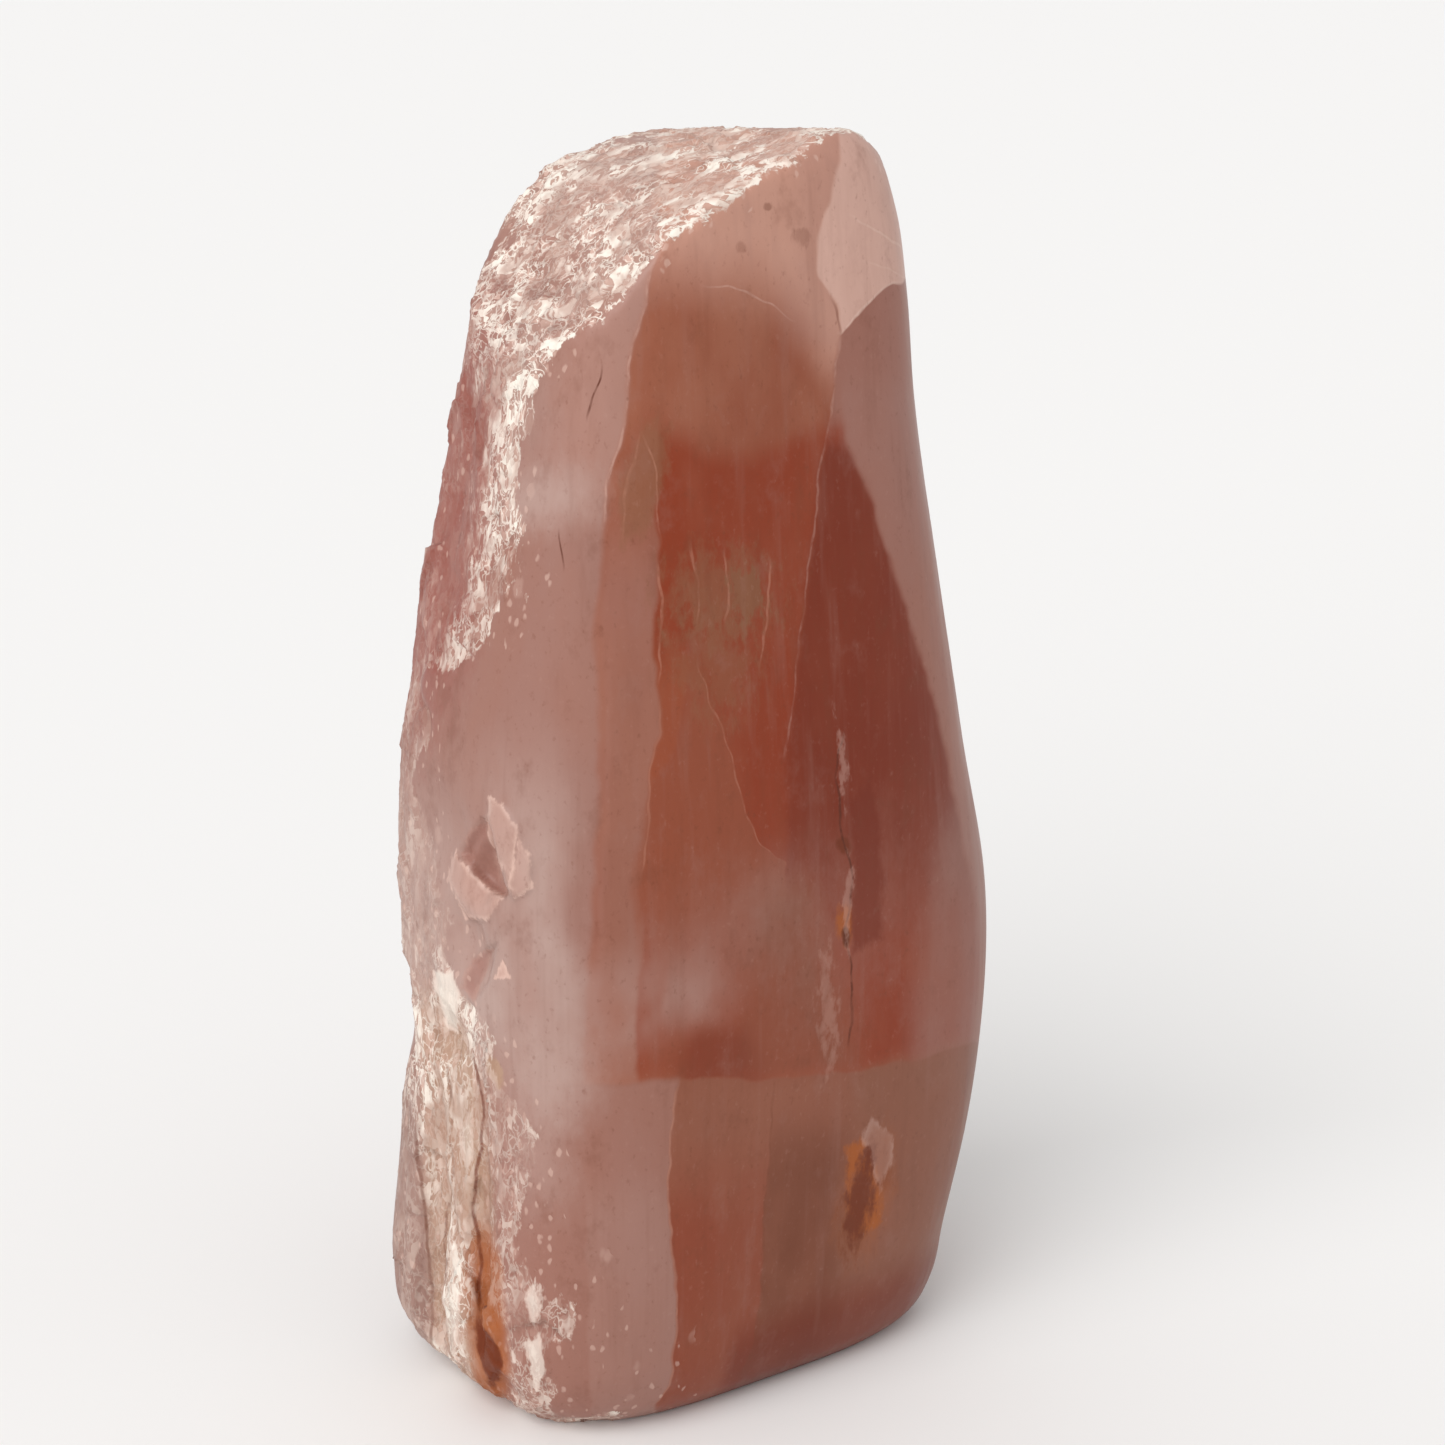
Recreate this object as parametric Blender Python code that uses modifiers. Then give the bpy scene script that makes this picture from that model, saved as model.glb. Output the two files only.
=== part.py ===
"""Rose quartz freeform: one upright stone, polished on its front, right and back, and left as it broke on
its left side and over its top. The polished front faces -Y, and the stone stands on a ground flat at Z = 0.
"""

import bmesh
import bpy
import numpy as np
from mathutils import Euler, Vector, noise

MM = 0.001

# The polished form, as level sections through the stone: height, then where its left, right, front and
# back lie, in millimetres.
SECTIONS_MM = (
    (0, -32.5, 31.6, -17.6, 22.5),
    (3, -37.4, 35, -21, 28),
    (8, -40.8, 37.2, -23.4, 30.2),
    (16, -41.9, 38.4, -24.8, 31),
    (32, -41.2, 42, -25.7, 30.5),
    (50, -40.8, 43.9, -26, 29),
    (72, -41.3, 43.5, -26, 28),
    (95, -40.4, 38.9, -25, 27),
    (120, -37, 34, -23, 24),
    (145, -32.5, 30.1, -21, 21.3),
    (160, -29.6, 28.8, -20, 19.8),
    (172, -27.8, 26.8, -19, 19.5),
    (180, -26, 23.2, -18, 18),
    (187, -22, 17, -14, 13),
)
# How square each corner of a section is: 2 is a plain ellipse, and larger is squarer.
CORNER_POWER = {"back_right": 3.2, "back_left": 3.6, "front_left": 3.2, "front_right": 3.8}
RINGS = 140
TOP_RINGS = 24
RING_POINTS = 144

# Where the top broke off: along X, then the height of the break over the front and over the back, in
# millimetres.
TOP_BREAK_MM = (
    (-40, 139, 138),
    (-30, 157.4, 157.4),
    (-23, 165.8, 165),
    (-18, 171.8, 171),
    (-12, 175.8, 175.8),
    (-5, 178.8, 178),
    (4, 181.6, 179),
    (12, 184, 178.6),
    (17, 183.4, 177.8),
    (22, 180, 175),
    (28, 172, 168),
)
TOP_FRONT_Y_MM = -19
TOP_BACK_Y_MM = 18

# Pieces that broke away, each the shape of an egg: its middle, its half sizes and its turn in degrees.
BREAKS_MM = {
    "upper_hollow": ((-47.2, 14, 144), (16.8, 21, 36), (0, 6, 0)),
    "ledge_hollow": ((-46, 9, 125), (11.5, 14, 11.5), (0, 0, 0)),
    "bulge_flat": ((-64.6, 9, 92), (24.5, 40, 34), (0, 0, 8)),
    "plate_hollow": ((-44.5, -8, 87), (6.5, 4.6, 6.5), (25, 0, 0)),
    "plate_foot": ((-45.5, -4, 76), (6.2, 6, 8), (-25, 0, 0)),
    "waist": ((-53, 28, 56), (20.5, 19, 21), (0, 0, 0)),
    "waist_front": ((-47.5, 3, 59), (8.5, 9, 8), (0, 0, 0)),
    "valley": ((-47, 8, 26), (9, 5.5, 40), (3, 0, 0)),
    "fissure": ((-44, -5, 30), (5, 2.4, 30), (2, 0, 0)),
    "foot_recess": ((-43, -8.5, 1), (6.5, 4.5, 11), (0, 0, 0)),
    "far_foot": ((-45, 16, -4), (11, 16, 9), (0, 0, 0)),
}
BREAK_SEGMENTS = 32

# The broken surface: facets of each size in millimetres, longer up the stone than across it, and how far
# they stand out of the surface.
FACETS_MM = ((11, 1.1), (5.5, 0.5))
FACET_LENGTH = 1.8
# The left side is broken behind this line: height, then the line's Y.
BROKEN_LINE_MM = (
    (-5, -15.5),
    (10, -15),
    (31, -13.5),
    (44, -9),
    (56, -2),
    (66, 4),
    (76, 5),
    (92, 3),
    (104, 3),
    (113, 3),
    (120, -2.5),
    (129, -4.5),
    (143, -4),
    (151, -6),
    (158, -9.5),
    (164, -12),
    (172, -17),
    (190, -19),
)
BROKEN_BACK_Y_MM = 23
BROKEN_RIGHT_X_MM = -24
EDGE_BLEND_MM = 3
TOP_BLEND_MM = 2.5

# The hand-worked polish leaves long shallow waves.
WAVE_MM = 0.45
WAVE_LENGTH_MM = 42

VOXEL_MM = 1.5
FACES = 8400
# The lowest part is ground away, to leave the flat that the stone stands on.
GROUND_MM = 0.6

ROSE = (0.42, 0.2, 0.16)
ROUGHNESS = 0.35


def clear_scene():
    for item in list(bpy.data.objects):
        bpy.data.objects.remove(item, do_unlink=True)


def new_collection(name):
    collection = bpy.data.collections.new(name)
    bpy.context.scene.collection.children.link(collection)
    return collection


def smooth_through(stations, at):
    """A curve through the stations, with each slope taken from its neighbours."""
    stations = np.array(stations, float)
    places, values = stations[:, 0], stations[:, 1]
    slopes = np.gradient(values, places)
    index = np.clip(np.searchsorted(places, at) - 1, 0, len(places) - 2)
    span = places[index + 1] - places[index]
    t = np.clip((at - places[index]) / span, 0, 1)
    t2, t3 = t * t, t * t * t
    return (
        (2 * t3 - 3 * t2 + 1) * values[index]
        + (t3 - 2 * t2 + t) * span * slopes[index]
        + (3 * t2 - 2 * t3) * values[index + 1]
        + (t3 - t2) * span * slopes[index + 1]
    )


def ease(value):
    """0 below 0, 1 above 1, and a smooth rise between."""
    value = np.clip(value, 0, 1)
    return value * value * (3 - 2 * value)


def top_break(x, y):
    """Height of the broken top above a place, in millimetres."""
    stations = np.array(TOP_BREAK_MM, float)
    front, back = (smooth_through(stations[:, [0, k]], x) for k in (1, 2))
    return front + (back - front) * (y - TOP_FRONT_Y_MM) / (TOP_BACK_Y_MM - TOP_FRONT_Y_MM)


def polished_form():
    """Rings of points up the stone, in millimetres: an array of ring, point, XYZ."""
    sections = np.array(SECTIONS_MM, float)
    height = np.linspace(0, sections[-1, 0], RINGS)
    left, right, front, back = (smooth_through(sections[:, [0, k]], height) for k in range(1, 5))
    turn = np.linspace(0, 2 * np.pi, RING_POINTS, endpoint=False)
    across, along = np.cos(turn), np.sin(turn)
    power = np.where(
        along >= 0,
        np.where(across >= 0, CORNER_POWER["back_right"], CORNER_POWER["back_left"]),
        np.where(across >= 0, CORNER_POWER["front_right"], CORNER_POWER["front_left"]),
    )
    square_x = np.sign(across) * np.abs(across) ** (2 / power)
    square_y = np.sign(along) * np.abs(along) ** (2 / power)
    x = ((left + right) / 2)[:, None] + ((right - left) / 2)[:, None] * square_x
    y = ((front + back) / 2)[:, None] + ((back - front) / 2)[:, None] * square_y
    z = np.repeat(height[:, None], RING_POINTS, axis=1)
    inward = np.linspace(1, 0, TOP_RINGS, endpoint=False)[1:, None]
    middle_x, middle_y = x[-1].mean(), y[-1].mean()
    x = np.concatenate([x, middle_x + inward * (x[-1] - middle_x)])
    y = np.concatenate([y, middle_y + inward * (y[-1] - middle_y)])
    z = np.concatenate([z, np.repeat(z[-1:], len(inward), axis=0)])
    return np.stack([x, y, np.minimum(z, top_break(x, y))], axis=-1)


def loft(rings):
    """A closed mesh through rings of points, with a fan over each end."""
    shape = bmesh.new()
    made = [[shape.verts.new(point * MM) for point in ring] for ring in rings]
    count = len(made[0])
    for low, high in zip(made, made[1:]):
        for k in range(count):
            after = (k + 1) % count
            shape.faces.new((low[k], low[after], high[after], high[k]))
    for ring, facing in ((made[0], -1), (made[-1], 1)):
        middle = sum((vert.co for vert in ring), start=ring[0].co * 0) / count
        tip = shape.verts.new(middle)
        for k in range(count):
            corners = (ring[k], ring[(k + 1) % count], tip)
            shape.faces.new(corners if facing > 0 else corners[::-1])
    mesh = bpy.data.meshes.new("rose_quartz")
    shape.to_mesh(mesh)
    shape.free()
    return mesh


def break_away(stone, cutters):
    """Cuts each broken piece from the stone."""
    for name, (middle, half_sizes, turn) in BREAKS_MM.items():
        shape = bmesh.new()
        bmesh.ops.create_uvsphere(shape, u_segments=BREAK_SEGMENTS, v_segments=BREAK_SEGMENTS // 2, radius=1)
        bmesh.ops.scale(shape, vec=Vector(half_sizes) * MM, verts=shape.verts)
        mesh = bpy.data.meshes.new(name)
        shape.to_mesh(mesh)
        shape.free()
        cutter = bpy.data.objects.new(name, mesh)
        cutter.location = Vector(middle) * MM
        cutter.rotation_euler = Euler([np.radians(angle) for angle in turn])
        cutter.hide_render = True
        cutter.display_type = "WIRE"
        cutters.objects.link(cutter)
        cut = stone.modifiers.new(name, "BOOLEAN")
        cut.operation = "DIFFERENCE"
        cut.solver = "EXACT"
        cut.object = cutter
    even = stone.modifiers.new("even faces", "REMESH")
    even.mode = "VOXEL"
    even.voxel_size = VOXEL_MM * MM


def keep_evaluated(stone):
    """Makes the stone's mesh what its modifiers give, and clears them."""
    bpy.context.view_layer.update()
    finished = stone.evaluated_get(bpy.context.evaluated_depsgraph_get())
    mesh = bpy.data.meshes.new_from_object(finished)
    stone.modifiers.clear()
    stone.data = mesh


def brokenness(points):
    """How broken the surface is at each point: 0 where it is polished, 1 where it is fully broken."""
    x, y, z = points.T
    wander = np.array([noise.noise(Vector(point) / 9) for point in points])
    line = smooth_through(BROKEN_LINE_MM, z)
    behind_line = ease((y - line + 4 * wander) / EDGE_BLEND_MM)
    before_back = ease((BROKEN_BACK_Y_MM - y + 6 * wander) / EDGE_BLEND_MM)
    left_side = behind_line * before_back * ease((BROKEN_RIGHT_X_MM - x) / EDGE_BLEND_MM)
    top = ease((z - top_break(x, y) + 2 * TOP_BLEND_MM + 2 * wander) / TOP_BLEND_MM)
    return np.maximum(left_side, top)


def facet(point, size):
    """Height of the tilted facet that a point lies on, from -1 to 1, where the facets are of this size."""
    place = Vector((point.x, point.y, point.z / FACET_LENGTH)) / size
    _, middles = noise.voronoi(place)
    tilt = noise.cell_vector(middles[0]) - noise.cell_vector(middles[0] + Vector((7, 3, 5)))
    return (place - middles[0]).dot(tilt)


def roughen(mesh):
    """Breaks the broken surface into facets, and puts long waves in the polished one."""
    count = len(mesh.vertices)
    flat = np.empty(count * 3, np.float32)
    mesh.vertices.foreach_get("co", flat)
    points = flat.reshape(-1, 3).astype(float) / MM
    normals = np.empty(count * 3, np.float32)
    mesh.vertices.foreach_get("normal", normals)
    broken = brokenness(points)
    offset = np.empty(count)
    for k, point in enumerate(points):
        place = Vector(point)
        chips = sum(height * facet(place, size) for size, height in FACETS_MM)
        wave = WAVE_MM * noise.noise(place / WAVE_LENGTH_MM)
        offset[k] = broken[k] * chips + wave
    points += offset[:, None] * normals.reshape(-1, 3)
    mesh.vertices.foreach_set("co", (points * MM).astype(np.float32).ravel())
    mesh.update()


def thin_out(stone):
    """Keeps most of the faces where the surface bends most."""
    fewer = stone.modifiers.new("fewer faces", "DECIMATE")
    fewer.decimate_type = "COLLAPSE"
    fewer.ratio = FACES / (2 * len(stone.data.polygons))
    keep_evaluated(stone)


def grind_base(mesh):
    """Grinds the foot flat and stands the stone on it, with the origin under the middle of its box."""
    shape = bmesh.new()
    shape.from_mesh(mesh)
    everything = shape.verts[:] + shape.edges[:] + shape.faces[:]
    level = Vector((0, 0, GROUND_MM * MM))
    cut = bmesh.ops.bisect_plane(
        shape, geom=everything, plane_co=level, plane_no=(0, 0, -1), dist=1e-6, clear_outer=True
    )
    rim = [item for item in cut["geom_cut"] if isinstance(item, bmesh.types.BMEdge)]
    bmesh.ops.contextual_create(shape, geom=rim)
    bmesh.ops.recalc_face_normals(shape, faces=shape.faces)
    corners = np.array([vert.co[:] for vert in shape.verts])
    low, high = corners.min(axis=0), corners.max(axis=0)
    middle = (low + high) / 2
    bmesh.ops.translate(shape, vec=(-middle[0], -middle[1], -low[2]), verts=shape.verts)
    shape.to_mesh(mesh)
    shape.free()


def rose_material():
    material = bpy.data.materials.new("rose_quartz")
    material.use_nodes = True
    shader = material.node_tree.nodes["Principled BSDF"]
    shader.inputs["Base Color"].default_value = (*ROSE, 1)
    shader.inputs["Roughness"].default_value = ROUGHNESS
    shader.inputs["Metallic"].default_value = 0
    return material


def main():
    clear_scene()
    parts = new_collection("rose quartz freeform")
    cutters = new_collection("broken away")
    stone = bpy.data.objects.new("rose_quartz", loft(polished_form()))
    parts.objects.link(stone)
    break_away(stone, cutters)
    keep_evaluated(stone)
    roughen(stone.data)
    thin_out(stone)
    grind_base(stone.data)
    stone.data.materials.append(rose_material())


main()
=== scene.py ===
"""Rose quartz freeform: the finished stone, with its veils, frost and stains, in a pale studio."""

from dataclasses import dataclass

import bmesh
import bpy
import numpy as np
from bpy.props import FloatProperty, FloatVectorProperty, IntProperty, PointerProperty
from mathutils import Euler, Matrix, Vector, noise


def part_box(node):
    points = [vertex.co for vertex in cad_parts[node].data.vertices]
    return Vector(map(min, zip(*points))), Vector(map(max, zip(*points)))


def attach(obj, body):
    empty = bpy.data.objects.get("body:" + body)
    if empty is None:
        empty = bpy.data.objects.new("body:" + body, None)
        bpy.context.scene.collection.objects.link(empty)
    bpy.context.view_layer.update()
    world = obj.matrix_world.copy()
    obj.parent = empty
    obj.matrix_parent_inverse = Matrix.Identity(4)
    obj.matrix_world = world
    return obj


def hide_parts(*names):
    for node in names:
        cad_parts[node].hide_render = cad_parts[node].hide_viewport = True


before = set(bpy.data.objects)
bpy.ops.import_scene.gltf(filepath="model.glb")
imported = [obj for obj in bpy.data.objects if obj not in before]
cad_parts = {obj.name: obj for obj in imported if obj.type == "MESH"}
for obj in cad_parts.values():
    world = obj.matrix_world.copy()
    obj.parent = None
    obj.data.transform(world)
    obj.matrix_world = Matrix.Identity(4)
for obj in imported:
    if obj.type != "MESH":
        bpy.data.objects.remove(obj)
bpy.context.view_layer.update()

bl_info = {
    "name": "Rose Quartz Freeform",
    "version": (1, 0, 0),
    "blender": (4, 5, 0),
    "location": "View3D > Sidebar > Rose Quartz",
    "description": "Builds an upright rose quartz, polished in front and broken at its left and top",
    "category": "Add Mesh",
}

MM = 0.001
PIECE = "quartz_stone"
CAD_NODE = "rose_quartz"

# The polished form, as level sections through the stone: height, then where its left, right, front and
# back lie, in millimetres.
SECTIONS_MM = (
    (0, -32.5, 31.6, -17.6, 22.5), (3, -37.4, 35, -21, 28), (8, -40.8, 37.2, -23.4, 30.2),
    (16, -41.9, 38.4, -24.8, 31), (32, -41.2, 42, -25.7, 30.5), (50, -40.8, 43.9, -26, 29),
    (72, -41.3, 43.5, -26, 28), (95, -40.4, 38.9, -25, 27), (120, -37, 34, -23, 24),
    (145, -32.5, 30.1, -21, 21.3), (160, -29.6, 28.8, -20, 19.8), (172, -27.8, 26.8, -19, 19.5),
    (180, -26, 23.2, -18, 18), (187, -22, 17, -14, 13),
)
# How square each corner of a section is: 2 is a plain ellipse, and larger is squarer.
CORNER_POWER = {"back_right": 3.2, "back_left": 3.6, "front_left": 3.2, "front_right": 3.8}
RINGS = 200
TOP_RINGS = 32
RING_POINTS = 216

# Where the top broke off: along X, then the height of the break over the front and over the back.
TOP_BREAK_MM = (
    (-40, 139, 138), (-30, 157.4, 157.4), (-23, 165.8, 165), (-18, 171.8, 171), (-12, 175.8, 175.8),
    (-5, 178.8, 178), (4, 181.6, 179), (12, 184, 178.6), (17, 183.4, 177.8), (22, 180, 175),
    (28, 172, 168),
)
TOP_FRONT_Y_MM = -19
TOP_BACK_Y_MM = 18

# Pieces that broke away, each the shape of an egg: its middle, its half sizes and its turn in degrees.
BREAKS_MM = {
    "upper_hollow": ((-47.2, 14, 144), (16.8, 21, 36), (0, 6, 0)),
    "ledge_hollow": ((-46, 9, 125), (11.5, 14, 11.5), (0, 0, 0)),
    "bulge_flat": ((-64.6, 9, 92), (24.5, 40, 34), (0, 0, 8)),
    "plate_hollow": ((-44.5, -8, 87), (6.5, 4.6, 6.5), (25, 0, 0)),
    "plate_foot": ((-45.5, -4, 76), (6.2, 6, 8), (-25, 0, 0)),
    "waist": ((-53, 28, 56), (20.5, 19, 21), (0, 0, 0)),
    "waist_front": ((-47.5, 3, 59), (8.5, 9, 8), (0, 0, 0)),
    "valley": ((-47, 8, 26), (9, 5.5, 40), (3, 0, 0)),
    "fissure": ((-44, -5, 30), (5, 2.4, 30), (2, 0, 0)),
    "foot_recess": ((-43, -8.5, 1), (6.5, 4.5, 11), (0, 0, 0)),
    "far_foot": ((-45, 16, -4), (11, 16, 9), (0, 0, 0)),
}
BREAK_SEGMENTS = 48
# The surface is rebuilt in faces of this size, and evened out this many times.
FACE_MM = 1.15
EVENING_PASSES = 4

# The broken surface: facets of each size in millimetres, longer up the stone than across it, and how far
# they stand out of the surface.
FACETS_MM = ((11, 1.1), (5.5, 0.5), (2.4, 0.34), (1.2, 0.17))
FACET_LENGTH = 1.8
# The step to another cell, whose random direction makes a facet's tilt.
CELL_STEP = Vector((7, 3, 5))
# The left side is broken behind this line: height, then the line's Y.
BROKEN_LINE_MM = (
    (-5, -18.5), (10, -18.5), (25, -18.5), (40, -15.5), (54, -12), (62, -9), (72, -3), (80, 2),
    (92, 7), (104, 8), (112, 6), (117, -4), (122, -8), (130, -10), (140, -7.5), (148, -6.5),
    (154, -8.5), (162, -11), (167, -13.5), (172, -15), (190, -16),
)
BROKEN_BACK_Y_MM = 23
BROKEN_RIGHT_X_MM = -24
EDGE_BLEND_MM = 3
TOP_BLEND_MM = 1.8
# The edge of the broken surface wanders this far, over this length.
WANDER_MM = 6
TOP_WANDER_MM = 2
WANDER_LENGTH_MM = 9
# Faces are halved where the surface is broken by more than this share.
FINE_FROM = 0.02

# The hand-worked polish leaves long shallow waves.
WAVE_MM = 0.45
WAVE_LENGTH_MM = 42

# The polish is bruised this far from the broken surface.
BRUISE_MM = 7
BRUISE_RIGHT_X_MM = -14
RIDGE_PASSES = 40
SHARD_BLEND_MM = 0.8
SHARD_BACK_Y_MM = 12

# The lowest part is ground away, to leave the flat that the stone stands on.
GROUND_MM = 0.6
# The middle of the stone's box, along X and Y, which becomes the origin.
STONE_SHIFT_MM = (0.9975, 2.4453)

# The grain of the stone, which its veils follow: directions across, up and out of the stone.
GRAIN_TURN = np.radians(-36)
GRAIN_LEAN = np.radians(20)
ACROSS = Vector((np.cos(GRAIN_TURN), np.sin(GRAIN_TURN), 0))
OUT = Vector((
    np.sin(GRAIN_TURN) * np.cos(GRAIN_LEAN),
    -np.cos(GRAIN_TURN) * np.cos(GRAIN_LEAN),
    np.sin(GRAIN_LEAN),
))
UP = OUT.cross(ACROSS)
# The spans across and up that an edge of a veil can be drawn in.
ACROSS_SPAN_MM = (-60, 60)
UP_SPAN_MM = (-25, 185)


@dataclass
class Veil:
    """A layer of another tint, between edges.

    Each edge is its softness, then its (across, up) points in millimetres, or one number if it's straight.
    """

    name: str
    colour: str
    strength: float
    right_of: tuple = None
    left_of: tuple = None
    above: tuple = None
    below: tuple = None
    cloud: float = 0
    drift: bool = False


@dataclass
class Patch:
    """A stain, chip or speck: an ellipse with a ragged rim, in millimetres."""

    name: str
    colour: str
    strength: float
    middle: tuple
    size: tuple
    turn: float = 0
    ragged: float = 0.5
    soft: float = 0.3


@dataclass
class Shard:
    """A flat flake or scar: its corners go round it, and it stands out of the surface by its depth. Its rim
    carries a painted highlight.
    """

    name: str
    colour: str
    strength: float
    corners: tuple
    soft: float = 0.3
    # How strongly the painted highlight shows along the rim.
    rim: float = 0
    depth: float = 0
    ragged: float = 1


@dataclass
class Thread:
    """A hairline or the bright edge of an inner plane, along (across, up) points in millimetres."""

    name: str
    colour: str
    strength: float
    width: float
    points: tuple
    gaps: float = 0.4
    level: bool = False


# Edges that several veils of the front share.
LEFT_PLANE_EDGE = (
    (-14, 45), (-13, 60), (-12, 75), (-11.5, 90), (-11.5, 106), (-10.5, 116), (-9.6, 122), (-8, 128),
    (-7.2, 135.5), (-5.8, 144), (-3.6, 150.5),
)
COLUMN_EDGE = (
    (-6.8, 47), (-6.2, 60), (-5.9, 70), (-5.2, 79), (-4.4, 85.5), (-3.6, 93.5), (-4.3, 101), (-3.5, 109),
)
STRIP_EDGE = ((-5, 81), (-2.8, 84), (-0.7, 91), (0.8, 99))
LONG_EDGE = ((13.5, 86), (14.8, 96), (16.7, 112.5), (18.5, 125.5), (19.4, 133.5), (20.9, 142))
RIGHT_EDGE = (
    (43, 58), (38, 82), (35.2, 92), (32.8, 99), (29.3, 110.5), (27.5, 115), (25.4, 122), (21.5, 130),
    (20.9, 134),
)
HEART_EDGE = ((13.9, 71.5), (9, 76), (6.9, 81.5), (6, 87), (3.2, 93.5), (1.5, 98))
NOTCH_EDGE = ((18, 140), (20.9, 142.2), (24, 146.2), (29.5, 151), (40, 158))
FACET_EDGE = ((20.9, 142), (19.9, 147), (17.2, 151.5), (19.6, 161.5), (20.5, 166))
LEVEL = ((-60, 41), (-17, 41), (2, 41.2), (23, 41.2), (31, 42), (42, 44), (60, 46))
FOOT_EDGE = (
    (-4.3, -7), (-2.6, -4), (-1.5, 2), (-1.2, 11.5), (-1.6, 16), (-2.4, 23), (-2, 30), (-1.3, 40.5),
)
SECOND_FOOT_EDGE = ((7.4, -4), (9.4, 0), (10.6, 11), (11.3, 23), (12.2, 35), (12.3, 41))
CRACK = (
    (23.1, 45.5), (23, 58), (22.3, 60), (23.2, 66), (21.8, 75.5), (21.6, 80.5), (20.3, 83.5), (22.1, 89.5),
)

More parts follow.
